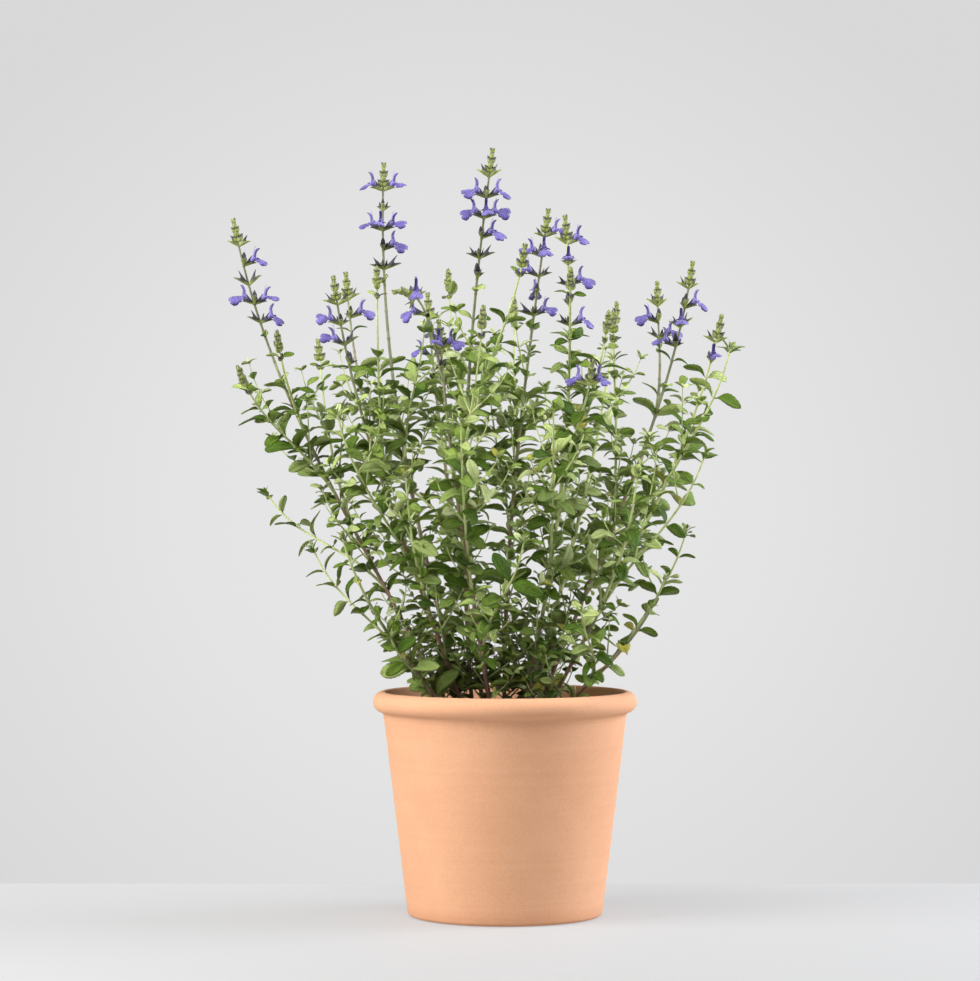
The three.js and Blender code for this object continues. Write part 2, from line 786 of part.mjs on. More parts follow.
// The tight buds at the end of a shoot, in crossed pairs.
function growBudHead(shoot) {
  const levels = shoot.spec.head === 'spike' ? 1 : 2;
  for (let level = 0; level < levels; level += 1) {
    const joint = shoot.addJoint(shoot.line.length - TOP_BUDS - level * BUD_SPACING);
    const frame = shoot.frame(joint.distance);
    for (const side of [level, level + 2]) {
      const direction = outwardAt(frame, side, BUD_TILT, 0);
      tryLimb(shoot, joint, side, budLimb(frame.centre, direction, frame.along, BUD_LENGTH));
    }
  }
}

// A whorl of calyces, with a flower in each that is open. On a nodding spike they stand square
// to the stem, or they would lie along it.
function growWhorl(plant, shoot, open, number) {
  const joint = shoot.addJoint(shoot.line.length - FIRST_WHORL - number * WHORL_SPACING);
  const frame = shoot.frame(joint.distance);
  const { centre } = frame;
  const swing = WHORL_SWING * (chance(shoot.number, number, 90) - 0.5);
  [...SIDES].forEach((letter, side) => {
    const outwards = shoot.spec.nod ? outwardAt(frame, side, Math.PI / 2, 0) : OUTWARDS[letter].clone();
    outwards.applyAxisAngle(UP, swing);
    if (open.includes(letter)) {
      outwards.addScaledVector(UP, OPEN_RISE);
      const bloom = corolla(centre, outwards);
      if (isClear(bloom, shoot, joint) && tryLimb(shoot, joint, side, openCalyxLimb(centre, outwards))) {
        place(bloom);
        plant.blooms.push(bloom);
      }
    } else if (side % 2 === number % 2) {
      outwards.addScaledVector(UP, shoot.spec.nod ? 0 : CLOSED_RISE);
      const isBud = number === 0;
      const limb = isBud ? budLimb(centre, outwards, UP, CALYX_LENGTH) : emptyCalyxLimb(centre, outwards);
      tryLimb(shoot, joint, side, limb);
    }
  });
}

// The leaves of a shoot, in opposite pairs up to its head.
function growLeaves(shoot) {
  const { spec, line, number } = shoot;
  const bare = spec.foot ? STEM_DEPTH + BARE_FOOT : shoot.start + BARE_SHOOT;
  const heads = {
    leaves: BARE_TIP,
    buds: HEAD_LENGTH + BARE_UNDER_BUDS,
    spike: FIRST_WHORL + ((spec.spike ?? []).length - 1) * WHORL_SPACING + BARE_UNDER_SPIKE,
  };
  const leafy = line.length - bare - heads[spec.head];
  if (leafy <= 0) {
    return;
  }
  const pairs = Math.ceil(leafy / PAIR_SPACING);
  for (let pair = 0; pair <= pairs; pair += 1) {
    const joint = shoot.addJoint(bare + (pair / pairs) * leafy);
    const frame = shoot.frame(joint.distance);
    const top = frame.along.clone().multiplyScalar(0.4).add(UP);
    const size = mix(LOWEST_LEAF, HIGHEST_LEAF, joint.distance / line.length);
    for (const side of [pair % 2, (pair % 2) + 2]) {
      const swing = 0.7 * (chance(number, pair, side) - 0.5);
      const tilt = LEAF_TILT + 0.4 * (chance(number, pair, side + 4) - 0.5);
      const length = size * mix(0.85, 1.15, chance(number, pair, 8));
      tryLimb(shoot, joint, side, leafLimb(frame.centre, outwardAt(frame, side, tilt, swing), top, length));
    }
  }
}

const plants = STEMS.map(growStems);
shoots.forEach((shoot) => place(shoot.bareSolid(), shoot));
for (const plant of plants) {
  for (const shoot of plant.shoots) {
    if (shoot.spec.head !== 'leaves') {
      growBudHead(shoot);
    }
    (shoot.spec.spike ?? []).forEach((open, number) => growWhorl(plant, shoot, open, number));
  }
}
shoots.forEach(growLeaves);

// ---- the scene ----

const pottedSage = new THREE.Group();
pottedSage.name = 'potted_sage';
pottedSage.add(toMesh('pot', makePot(), TERRACOTTA));
pottedSage.add(toMesh('soil', makeSoil(plants.map(({ main }) => stemHole(main))), EARTH));
for (const plant of plants) {
  pottedSage.add(toMesh(`leafy_stem_${plant.name}`, plant.main.solid(), LEAF_GREEN));
  plant.blooms.forEach((bloom, i) => {
    pottedSage.add(toMesh(`bloom_${plant.name}_${i + 1}`, bloom, VIOLET));
  });
}

export default pottedSage;
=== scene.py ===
import math

import bmesh
import bpy
import numpy as np
from mathutils import Matrix, Quaternion, Vector


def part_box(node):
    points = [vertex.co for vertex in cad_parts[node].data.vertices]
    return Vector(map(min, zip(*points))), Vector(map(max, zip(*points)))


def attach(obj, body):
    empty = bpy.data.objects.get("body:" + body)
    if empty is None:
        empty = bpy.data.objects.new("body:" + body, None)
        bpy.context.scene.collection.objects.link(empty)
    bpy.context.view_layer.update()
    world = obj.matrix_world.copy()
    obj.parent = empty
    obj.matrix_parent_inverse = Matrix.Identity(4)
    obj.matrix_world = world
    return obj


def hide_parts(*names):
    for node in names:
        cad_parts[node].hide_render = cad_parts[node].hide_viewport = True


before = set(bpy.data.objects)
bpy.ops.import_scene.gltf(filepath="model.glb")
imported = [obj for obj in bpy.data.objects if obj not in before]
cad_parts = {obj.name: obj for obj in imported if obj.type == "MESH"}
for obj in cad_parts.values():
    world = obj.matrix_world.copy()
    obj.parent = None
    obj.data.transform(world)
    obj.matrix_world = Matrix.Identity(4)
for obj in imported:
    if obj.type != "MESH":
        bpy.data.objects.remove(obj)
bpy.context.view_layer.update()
# Lengths are in millimetres and turns in radians. MM brings a length to Blender's metres.
MM = 0.001

# ---- The pot ----
# A round plant pot, 21 cm across its rolled rim, thrown in terracotta and fired without a glaze.
# The wheel left faint rings in its wall, and three drainage holes were cut through its floor.
POT_HEIGHT = 177.5
RIM_RADIUS = 105
RIM_HEIGHT = 16.5
UNDER_RIM = POT_HEIGHT - RIM_HEIGHT
BODY_TOP_RADIUS = 96.5
FOOT_RADIUS = 77.5
FOOT_ROUNDING = 3
WALL = 9
FLOOR_THICKNESS = 11
FLAT_MIDDLE = 60
NECK = 2.4
POT_SIDES = 180
WALL_RINGS = 45
DRAIN_HOLES = 3
DRAIN_CIRCLE_RADIUS = 42
DRAIN_RADIUS = 6
DRILL_LENGTH = 40
RING_DEPTH = 0.05
OUT_OF_ROUND = 0.12
MARKED_ABOVE = 4
MARKED_RADII = (65, 97.5)
SHARP_ANGLE = math.radians(42)


def mix(start, end, share):
    return start + (end - start) * share


def inside_radius(height):
    return mix(FOOT_RADIUS, BODY_TOP_RADIUS, height / UNDER_RIM) - WALL


def arc(centre, radius, start, end, steps):
    turns = [start + (end - start) * i / steps for i in range(steps + 1)]
    return [(centre[0] + radius * math.cos(t), centre[1] + radius * math.sin(t)) for t in turns]


def pot_profile():
    """The pot's section, from the middle of its foot up the outside and down the inside."""
    roll = RIM_HEIGHT / 2
    foot = arc((FOOT_RADIUS - FOOT_ROUNDING, FOOT_ROUNDING), FOOT_ROUNDING, -math.pi / 2, 0, 6)
    shares = [i / WALL_RINGS for i in range(1, WALL_RINGS + 1)]
    wall = [(mix(FOOT_RADIUS, BODY_TOP_RADIUS, share), mix(FOOT_ROUNDING, UNDER_RIM - NECK, share))
            for share in shares]
    neck = [(BODY_TOP_RADIUS + out, UNDER_RIM + up) for out, up in ((0.25, -1.6), (0.7, -0.7), (1.6, 0.1))]
    rim = arc((RIM_RADIUS - roll, UNDER_RIM + roll), roll, -0.36 * math.pi, 0.5 * math.pi, 18)
    lip = [(RIM_RADIUS - inset, POT_HEIGHT - drop) for inset, drop in (
        (9.3, 0.3), (10.2, 1.2), (10.9, 2.5), (12.7, 6.5), (14.8, 10.9), (16.8, 14.9))]
    inner = [(inside_radius(h), h) for h in np.linspace(UNDER_RIM - 2, FLOOR_THICKNESS + 2, 34)]
    corner = [(inside_radius(FLOOR_THICKNESS) - 1.2, FLOOR_THICKNESS + 0.5),
              (inside_radius(FLOOR_THICKNESS) - 3, FLOOR_THICKNESS)]
    return [(FLAT_MIDDLE, 0), *foot, *wall, *neck, *rim, *lip, *inner, *corner,
            (FLAT_MIDDLE, FLOOR_THICKNESS)]


def new_object(name, mesh):
    made = bpy.data.objects.new(name, mesh)
    bpy.context.scene.collection.objects.link(made)
    return made


def object_from(name, loose):
    """An object from a loose mesh, which is freed."""
    mesh = bpy.data.meshes.new(name)
    loose.to_mesh(mesh)
    loose.free()
    return new_object(name, mesh)


def plain_mesh(name, points, faces):
    mesh = bpy.data.meshes.new(name)
    mesh.from_pydata([tuple(MM * c for c in p) for p in points], [], faces)
    mesh.update()
    return mesh


def ring_faces(rings, sides):
    """Four-cornered faces that join each ring of points with the next."""
    return [(i * sides + k, i * sides + (k + 1) % sides, (i + 1) * sides + (k + 1) % sides,
             (i + 1) * sides + k) for i in range(rings - 1) for k in range(sides)]


def turned_mesh(name, profile, sides, wobble):
    """A section turned round the Z axis, closed at both ends on the axis."""
    points = []
    for radius, height in profile:
        for k in range(sides):
            turn = 2 * math.pi * k / sides
            reach = radius + wobble(turn, radius, height)
            points.append((reach * math.cos(turn), reach * math.sin(turn), height))
    first, last = len(points), len(points) + 1
    faces = ring_faces(len(profile), sides)
    for k in range(sides):
        faces.append((first, (k + 1) % sides, k))
        faces.append((last, first - sides + k, first - sides + (k + 1) % sides))
    return plain_mesh(name, [*points, (0, 0, profile[0][1]), (0, 0, profile[-1][1])], faces)


def wheel_marks(turn, radius, height):
    """How far the pot's wall lies from true round. Its foot, floor and rim are true."""
    if height < MARKED_ABOVE or not MARKED_RADII[0] <= radius <= MARKED_RADII[1]:
        return 0
    rings = math.sin(height * 0.9 + turn) + 0.6 * math.sin(height * 0.37 - 2 * turn + 1)
    slow = math.sin(2 * turn + 0.6) + 0.5 * math.sin(3 * turn + height * 0.02)
    return RING_DEPTH * rings + OUT_OF_ROUND * slow


def settled(piece):
    """Leaves a piece the plain mesh that its modifiers make of it, and takes them off."""
    seen_by = bpy.context.evaluated_depsgraph_get()
    mesh = bpy.data.meshes.new_from_object(piece.evaluated_get(seen_by), preserve_all_data_layers=True,
                                           depsgraph=seen_by)
    piece.modifiers.clear()
    piece.data = mesh
    return piece


pot = new_object("terracotta_pot", turned_mesh("terracotta_pot", pot_profile(), POT_SIDES, wheel_marks))
drills = bmesh.new()
for i in range(DRAIN_HOLES):
    turn = math.pi / 2 + i / DRAIN_HOLES * 2 * math.pi
    place = Vector((DRAIN_CIRCLE_RADIUS * math.cos(turn), DRAIN_CIRCLE_RADIUS * math.sin(turn), 5)) * MM
    bmesh.ops.create_cone(drills, cap_ends=True, segments=24, radius1=DRAIN_RADIUS * MM,
                          radius2=DRAIN_RADIUS * MM, depth=DRILL_LENGTH * MM,
                          matrix=Matrix.Translation(place))
drill = object_from("drill", drills)
cut = pot.modifiers.new("drain holes", "BOOLEAN")
cut.object = drill
cut.operation = "DIFFERENCE"
cut.solver = "EXACT"
settled(pot)
bpy.data.objects.remove(drill)
pot.data.shade_smooth()
pot.data.set_sharp_from_angle(angle=SHARP_ANGLE)


def fill(node, inputs):
    """Fills a node's inputs, named or numbered, each with a value or from another node's socket."""
    for key, value in inputs.items():
        socket = node.inputs[key]
        if isinstance(value, bpy.types.NodeSocket):
            node.id_data.links.new(value, socket)
        else:
            socket.default_value = (*value, 1) if socket.type == "RGBA" else value


def adder(tree):
    """A short way to add a node to a tree, with its inputs filled and its settings made."""

    def add(kind, inputs=None, **settings):
        node = tree.nodes.new(kind)
        for key, value in settings.items():
            setattr(node, key, value)
        fill(node, inputs or {})
        return node

    return add


def node_group(kind, name, inputs, outputs):
    """An empty node group. Each socket is (name, type), and an input's value may follow."""
    tree = bpy.data.node_groups.new(name, kind)
    for way, sockets in (("INPUT", inputs), ("OUTPUT", outputs)):
        for label, socket_kind, *value in sockets:
            socket = tree.interface.new_socket(label, in_out=way, socket_type="NodeSocket" + socket_kind)
            if value:
                socket.default_value = value[0]
    add = adder(tree)
    return tree, add("NodeGroupInput").outputs, add("NodeGroupOutput"), add


# A stain darkens a colour where a pattern's value is near its stained end.
stain_group, source, sink, add = node_group("ShaderNodeTree", "stain", [
    ("Colour", "Color"), ("Pattern", "Float"), ("Stained at", "Float"), ("Clean at", "Float"),
    ("Tint", "Color"), ("Share", "Float")], [("Colour", "Color")])
clean = add("ShaderNodeMapRange", {0: source["Pattern"], 1: source["Stained at"], 2: source["Clean at"]})
mask = add("ShaderNodeMix", {0: clean.outputs[0], 6: source["Tint"], 7: (1, 1, 1)}, data_type="RGBA")
stained = add("ShaderNodeMix", {0: source["Share"], 6: source["Colour"], 7: mask.outputs[2]},
              data_type="RGBA", blend_type="MULTIPLY")
fill(sink, {0: stained.outputs[2]})


class Finish:
    """A material in the making. Each step gives the socket that holds its result."""

    def __init__(self, name):
        self.material = bpy.data.materials.new(name)
        self.material.use_nodes = True
        self.tree = self.material.node_tree
        self.add = adder(self.tree)
        self.here = self.add("ShaderNodeTexCoord").outputs["Object"]

    def noise(self, scale, detail=2.0, roughness=0.5):
        return self.add("ShaderNodeTexNoise", {"Vector": self.here, "Scale": scale, "Detail": detail,
                                               "Roughness": roughness}).outputs["Fac"]

    def streaks(self, scales):
        """A noise that is drawn out, with its own scale along each axis."""
        drawn_out = self.add("ShaderNodeMapping", {"Vector": self.here, "Scale": scales})
        return self.add("ShaderNodeTexNoise", {"Vector": drawn_out.outputs[0], "Scale": 1.0,
                                               "Detail": 3.0}).outputs["Fac"]

    def cells(self, scale, output, **settings):
        return self.add("ShaderNodeTexVoronoi", {"Vector": self.here, "Scale": scale},
                        **settings).outputs[output]

    def mapped(self):
        """The spot on the piece's own map."""
        return self.add("ShaderNodeUVMap", uv_map="UVMap").outputs[0]

    def axes(self, place):
        return self.add("ShaderNodeSeparateXYZ", {0: place}).outputs

    def carried(self, name):
        """A number that each part of the piece carries."""
        return self.add("ShaderNodeAttribute", attribute_name=name).outputs["Fac"]

    def math(self, operation, *numbers):
        return self.add("ShaderNodeMath", dict(enumerate(numbers)), operation=operation).outputs[0]

    def spread(self, value, start, end, low=0.0, high=1.0):
        return self.add("ShaderNodeMapRange", dict(enumerate((value, start, end, low, high)))).outputs[0]

    def ramp(self, value, *stops):
        node = self.add("ShaderNodeValToRGB", {0: value})
        points = node.color_ramp.elements
        while len(points) < len(stops):
            points.new(0.5)
        for point, (place, colour) in zip(points, stops):
            point.position = place
            point.color = (*colour, 1)
        return node.outputs["Color"]

    def blend(self, share, first, second, way="MIX"):
        return self.add("ShaderNodeMix", {0: share, 6: first, 7: second}, data_type="RGBA",
                        blend_type=way).outputs[2]

    def stain(self, colour, pattern, stained_at, clean_at, tint, share):
        values = dict(enumerate((colour, pattern, stained_at, clean_at, tint, share)))
        return self.add("ShaderNodeGroup", values, node_tree=stain_group).outputs[0]

    def finish(self, colour, roughness, relief, strength, depth, **constants):
        """Joins colour, roughness and relief to the shader and gives the finished material."""
        bump = self.add("ShaderNodeBump", {"Height": relief, "Strength": strength, "Distance": depth})
        constants = {label.replace("_", " "): value for label, value in constants.items()}
        fill(self.tree.nodes["Principled BSDF"], {
            "Base Color": colour, "Roughness": roughness, "Normal": bump.outputs[0], **constants})
        return self.material


clay = Finish("fired terracotta")
cloud = clay.noise(14.0, 5.0, 0.6)
grit = clay.noise(900.0, 2.0, 0.6)
pits = clay.cells(420.0, "Distance")
throwing_lines = clay.streaks((6.0, 6.0, 260.0))
height = clay.axes(clay.here)["Z"]
colour = clay.ramp(cloud, (0.3, (0.70, 0.365, 0.205)), (0.5, (0.73, 0.385, 0.22)),
                   (0.72, (0.76, 0.415, 0.245)))
colour = clay.stain(colour, grit, 0.36, 0.56, (0.80, 0.76, 0.72), 0.35)
colour = clay.stain(colour, throwing_lines, 0.3, 0.65, (0.9, 0.88, 0.86), 0.3)
colour = clay.stain(colour, pits, 0.05, 0.16, (0.55, 0.42, 0.35), 0.25)
# Darker towards the bottom: the lowest 12 mm of the foot is darkened.
colour = clay.stain(colour, height, 0.0, 0.012, (0.86, 0.80, 0.76), 1.0)
grain = clay.math("MULTIPLY_ADD", throwing_lines, 0.6, grit)
roughness = clay.spread(cloud, 0, 1, 0.78, 0.92)
pot.data.materials.append(clay.finish(colour, roughness, grain, 0.22, 0.0006, Specular_IOR_Level=0.3))
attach(pot, "root")
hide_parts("pot")

# ---- The soil ----
# Dark peaty potting soil, pressed round the roots to 22 mm below the rim. Its top is uneven and
# crumbly, with bits of bark and a few white grains of perlite.
SOIL_LEVEL = 155
SOIL_SIDES = 120
SOIL_SETBACK = 0.7
SOIL_BUMP = 1.6
SOIL_BOTTOM = 11.4
CRUMBS = 2600
SOIL_AREA = 0.024  # in square metres


def soil_bump(x, y):
    broad = math.sin(x * 0.13 + 1.1) * math.cos(y * 0.11 - 0.4)
    narrow = math.sin(x * 0.05 - y * 0.31)
    fine = math.sin(x * 0.71 + 2 * math.sin(y * 0.53)) * math.sin(y * 0.67 + 1.3)
    return SOIL_BUMP * (broad + 0.5 * narrow + 0.35 * fine)


soil_edge = inside_radius(SOIL_LEVEL) - SOIL_SETBACK
soil_profile = [(30, SOIL_BOTTOM), (inside_radius(FLOOR_THICKNESS) - 4, SOIL_BOTTOM),
                (inside_radius(14) - SOIL_SETBACK, 14),
                *[(r, SOIL_LEVEL) for r in np.linspace(soil_edge, 3, 34)]]
soil_mesh = turned_mesh("potting_soil", soil_profile, SOIL_SIDES, lambda turn, radius, height: 0)
for vertex in soil_mesh.vertices:
    if vertex.co.z > 0.1:
        vertex.co.z = MM * (SOIL_LEVEL + soil_bump(vertex.co.x / MM, vertex.co.y / MM))
soil_mesh.shade_smooth()

lumps = bmesh.new()
bmesh.ops.create_icosphere(lumps, subdivisions=1, radius=MM)
for vertex in lumps.verts:
    lump = 1 + 0.28 * math.sin(4100 * vertex.co.x + 3300 * vertex.co.y + 2700 * vertex.co.z)
    vertex.co = vertex.co * lump
    vertex.co.z *= 0.7
crumb = object_from("crumb", lumps)


def close_tree(sink, source, add, made):
    """Ends a geometry tree with real geometry in its finish."""
    real = add("GeometryNodeRealizeInstances", {0: made})
    finished = add("GeometryNodeSetMaterial", {"Geometry": real.outputs[0], "Material": source["Finish"]})
    fill(sink, {0: finished.outputs[0]})


def run_tree(piece, tree, **values):
    """Runs a geometry tree on a piece and keeps the result as its plain mesh."""
    modifier = piece.modifiers.new(tree.name, "NODES")
    modifier.node_group = tree
    for item in tree.interface.items_tree:
        if item.in_out == "INPUT" and item.name.replace(" ", "_") in values:
            modifier[item.identifier] = values[item.name.replace(" ", "_")]
    piece.update_tag()
    return settled(piece)


crumb_tree, source, sink, add = node_group("GeometryNodeTree", "crumbs on the soil", [
    ("Soil", "Geometry"), ("Crumb", "Object"), ("How many a square metre", "Float", 1e5),
    ("Smallest", "Float", 0.5), ("Largest", "Float", 2.2), ("Seed", "Int", 7), ("Finish", "Material")],
    [("Made", "Geometry")])
level = add("ShaderNodeSeparateXYZ", {0: add("GeometryNodeInputNormal").outputs[0]})
upward = add("FunctionNodeCompare", {0: level.outputs["Z"], 1: 0.5}, operation="GREATER_THAN")
scatter = add("GeometryNodeDistributePointsOnFaces", {
    "Mesh": source["Soil"], "Density": source["How many a square metre"], "Seed": source["Seed"],
    "Selection": upward.outputs[0]}, distribute_method="RANDOM")
size = add("FunctionNodeRandomValue", {2: source["Smallest"], 3: source["Largest"], "Seed": source["Seed"]},
           data_type="FLOAT")
turned = add("FunctionNodeRandomValue", {0: (0, 0, 0), 1: (6.28, 6.28, 6.28), "Seed": source["Seed"]},
             data_type="FLOAT_VECTOR")
lump = add("GeometryNodeObjectInfo", {"Object": source["Crumb"]})
crumbs = add("GeometryNodeInstanceOnPoints", {
    "Points": scatter.outputs["Points"], "Instance": lump.outputs["Geometry"],
    "Rotation": turned.outputs[0], "Scale": size.outputs[1]})
both = add("GeometryNodeJoinGeometry", {0: crumbs.outputs[0]})
fill(both, {0: source["Soil"]})
close_tree(sink, source, add, both.outputs[0])

earth = Finish("peaty potting soil")
damp = earth.noise(45.0, 6.0, 0.7)
peat = earth.ramp(damp, (0.3, (0.018, 0.010, 0.006)), (0.55, (0.045, 0.027, 0.017)),
                  (0.8, (0.095, 0.062, 0.040)))
bits = earth.add("ShaderNodeSeparateColor", {0: earth.cells(260.0, "Color")}).outputs[0]
colour = earth.blend(earth.math("GREATER_THAN", bits, 0.97), peat, (0.62, 0.60, 0.56))
soil = new_object("potting_soil", soil_mesh)
run_tree(soil, crumb_tree, Crumb=crumb, How_many_a_square_metre=CRUMBS / SOIL_AREA,
         Finish=earth.finish(colour, 0.95, damp, 0.8, 0.0015))
bpy.data.objects.remove(crumb)
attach(soil, "root")
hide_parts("soil")

# ---- The stems ----
# Thirteen main stems leave the soil, each with the side shoots that grew from it: square in
# section, green and pliant at the tips, and turning woody and purple-brown towards the foot.
STEM_DEPTH = 26
MAIN_RADII = (2.4, 0.8)
SHOOT_RADII = (1.4, 0.7)
TWIG_RADII = (0.85, 0.4)
LINE_REACH = 0.36
NOD_SIDEWAYS = 0.95
NOD_DOWN = 0.2
TIP_TURNS_UP = Vector((0.45, 0.45, 1))
TURN_PER_SHOOT = 1.1
JOINT_ROOM = 4.5
CLEAR_OF_PARENT = 0.32
UP = Vector((0, 0, 1))
BACK = Vector((0, 1, 0))
OUTWARDS = {"L": Vector((-0.94, -0.34, 0)), "F": -BACK, "R": Vector((0.94, -0.34, 0)), "B": BACK}

# (name, foot, tip, bow, head, spike, side shoots), and a side shoot is (from, tip, head, spike).
# A spike is its whorls from the top down, each with the sides on which a flower is open.
STEMS = [
    ("left_tall", (-42, 4), (-217, 15, 552), (0, 0), "spike", ["", "R", "", "LR", "R"], [
        (0.62, (-179, -34, 460), "buds", []), (0.49, (-208, -50, 432), "buds", []),
        (0.42, (-152, 66, 458), "buds", []), (0.3, (-194, 60, 336), "leaves", [])]),
    ("left_inner", (-30, -14), (-134, -48, 502), (0, 0), "spike", ["", "L", "L", ""], [
        (0.6, (-127, 12, 509), "spike", ["", "R"]), (0.52, (-101, -30, 511), "buds", []),
        (0.36, (-128, -118, 396), "leaves", []), (0.28, (-76, -128, 350), "leaves", [])]),
    ("left_middle", (-28, 16), (-98, 50, 600), (-14, 4), "spike", ["LR", "", "LFR", "R", ""], [
        (0.42, (-104, 104, 440), "leaves", []), (0.5, (-64, 8, 468), "leaves", [])]),
    ("front", (-10, -22), (-51, -90, 466), (0, 0), "spike", ["FR", "L"], [
        (0.88, (-84, -98, 489), "nodding", ["FB", "L"]), (0.55, (-17, -104, 476), "buds", []),
        (0.38, (-34, -150, 392), "leaves", []), (0.22, (14, -128, 300), "leaves", [])]),
    ("middle_tall", (-22, -4), (-10, -15, 605), (-16, 0), "spike", ["", "LR", "LFR", "R", "", ""], [
        (0.5, (-46, 66, 515), "buds", []), (0.5, (15, -60, 526), "buds", [])]),
    ("middle_right", (2, 10), (35, 40, 562), (-12, 0), "spike", ["R", "LF", "L", "B", "R"], [
        (0.45, (8, 112, 496), "buds", []), (0.38, (-12, 62, 420), "leaves", [])]),
    ("right_middle", (10, -12), (47, -40, 550), (14, 0), "spike", ["R", "F", "R", "", "R"], [
        (0.66, (50, -92, 506), "buds", []), (0.5, (66, -116, 434), "spike", ["LR"]),
        (0.42, (80, -66, 474), "buds", []), (0.3, (36, -144, 400), "leaves", [])]),
    ("right_flowering", (24, 10), (152, 45, 520), (0, 0), "spike", ["", "R", "F", "L"], [
        (0.7, (126, 92, 507), "spike", ["", "L", "R"]), (0.42, (88, 40, 480), "buds", []),
        (0.34, (158, 100, 396), "leaves", [])]),
    ("right_outer", (30, -8), (170, -30, 473), (0, 0), "spike", ["", "F"], [
        (0.6, (174, -74, 448), "leaves", []), (0.34, (154, -84, 366), "leaves", []),
        (0.3, (100, -126, 350), "leaves", [])]),
    ("right_low", (34, -24), (124, -58, 268), (0, 0), "leaves", [], [
        (0.5, (144, -10, 306), "leaves", []), (0.4, (58, -104, 246), "leaves", [])]),
    ("left_low", (-40, -24), (-126, -70, 300), (0, 0), "leaves", [], [
        (0.45, (-152, -16, 292), "leaves", []), (0.28, (-90, -66, 226), "leaves", [])]),
    ("back_left", (-16, 34), (-64, 136, 500), (0, 0), "spike", ["", "B", "LR"], [
        (0.45, (-138, 126, 400), "leaves", []), (0.35, (-34, 158, 384), "leaves", [])]),
    ("back_right", (20, 34), (94, 128, 492), (0, 0), "buds", [], [
        (0.45, (34, 158, 424), "leaves", []), (0.35, (134, 142, 350), "leaves", [])]),
]


def chance(a, b, c):
    """A steady chance from 0 to 1 for each set of three numbers."""
    wave = math.sin(a * 12.9898 + b * 78.233 + c * 37.719) * 43758.5453
    return wave - math.floor(wave)


class Line:
    """The line of a shoot: it leaves along its start direction and turns up towards its tip."""

    def __init__(self, start, start_direction, tip, bow=(0, 0), nods=False):
        chord = tip - start
        self.length = chord.length
        side = Vector((bow[0], bow[1], 0)) * (4 / 3)
        end = (chord.normalized() * TIP_TURNS_UP).normalized()
        if nods:
            end = Vector((math.copysign(NOD_SIDEWAYS, chord.x), 0, -NOD_DOWN))
        reach = self.length * LINE_REACH
        self.corners = (start, start + start_direction * reach + side, tip - end * reach + side, tip)

    def at(self, distance):
        t = min(1, max(0, distance / self.length))
        a, b, c, d = self.corners
        s = 1 - t
        place = a * s ** 3 + b * 3 * s * s * t + c * 3 * s * t * t + d * t ** 3
        along = (b - a) * s * s + (c - b) * 2 * s * t + (d - c) * t * t
        return place, along.normalized()


class Shoot:
    """A stem with its joints, each at a distance from the stem's start."""

    def __init__(self, line, radii, head, spike, number):
        self.line, self.radii, self.spike, self.number = line, radii, spike, number
        self.nods = head == "nodding"
        self.head = "spike" if self.nods else head
        self.turn = 0 if spike else number * TURN_PER_SHOOT
        self.start, self.age = 0, 1
        self.taken, self.whorls, self.leaf_joints = [], [], []

    def frame(self, distance):
        place, along = self.line.at(distance)
        side = Quaternion(along, self.turn) @ along.cross(BACK).normalized()
        return place, along, side, along.cross(side)

    def outward(self, distance, side, tilt, swing=0):
        """A direction from one of the stem's four sides, tilted from the stem's own direction."""
        _, along, first, across = self.frame(distance)
        turn = side * math.pi / 2 + swing
        flat = first * math.cos(turn) + across * math.sin(turn)
        return along * math.cos(tilt) + flat * math.sin(tilt)

    def radius(self, distance):
        return mix(*self.radii, min(1, distance / self.line.length))

    def joint(self, wanted):
        """Takes the first free place for a joint, from the wanted one on."""
        while any(abs(taken - wanted) < JOINT_ROOM for taken in self.taken):
            wanted += 1
        self.taken.append(wanted)
        return wanted

    def corners(self, distance):
        place, _, side, across = self.frame(distance)
        turns = [(k + 0.5) * math.pi / 2 for k in range(4)]
        return [place + (side * math.cos(t) + across * math.sin(t)) * self.radius(distance) for t in turns]

    def start_from(self, parent, joint):
        """Moves this shoot's own first ring to where it has come clear of its parent."""
        place = parent.frame(joint)[0]
        way = self.line.at(self.line.length)[0] - place
        facing = max((parent.outward(joint, side, math.pi / 2) for side in range(4)), key=way.dot)
        clear = parent.radius(joint) + CLEAR_OF_PARENT
        while any((corner - place).dot(facing) < clear for corner in self.corners(self.start)):
            self.start += 1


plants = []
shoot_number = 0
for name, foot, tip, bow, head, spike, side_shoots in STEMS:
    leaves_soil = Vector((*foot, SOIL_LEVEL))
    lean = (Vector(tip) - leaves_soil).normalized()
    main = Shoot(Line(leaves_soil - lean * STEM_DEPTH, lean, Vector(tip), bow), MAIN_RADII, head, spike,
                 shoot_number)
    shoots = [main]
    for start_share, end, side_head, side_spike in side_shoots:
        joint = main.joint(start_share * main.line.length)
        start, along, _, _ = main.frame(joint)
        direction = ((Vector(end) - start).normalized() + along).normalized()
        line = Line(start, direction, Vector(end), nods=side_head == "nodding")
        shoot = Shoot(line, SHOOT_RADII, side_head, side_spike, shoot_number + len(shoots))
        shoot.start_from(main, joint)
        shoots.append(shoot)
    shoot_number += len(shoots)
    plants.append({"name": name, "shoots": shoots, "twigs": []})

# Where limbs stand on each shoot: buds at its end, whorls of calyces, then pairs of leaves.
TOP_BUDS = 8
BUD_SPACING = 5
FIRST_WHORL = 19
WHORL_SPACING = 15.5
BARE_FOOT = 24
BARE_SHOOT = 6
BARE_UNDER = {"leaves": 5, "buds": 21, "spike": 12}
BUD_LEVELS = {"leaves": 0, "buds": 2, "spike": 1}
PAIR_SPACING = 72
PAIRS_BETWEEN = 3

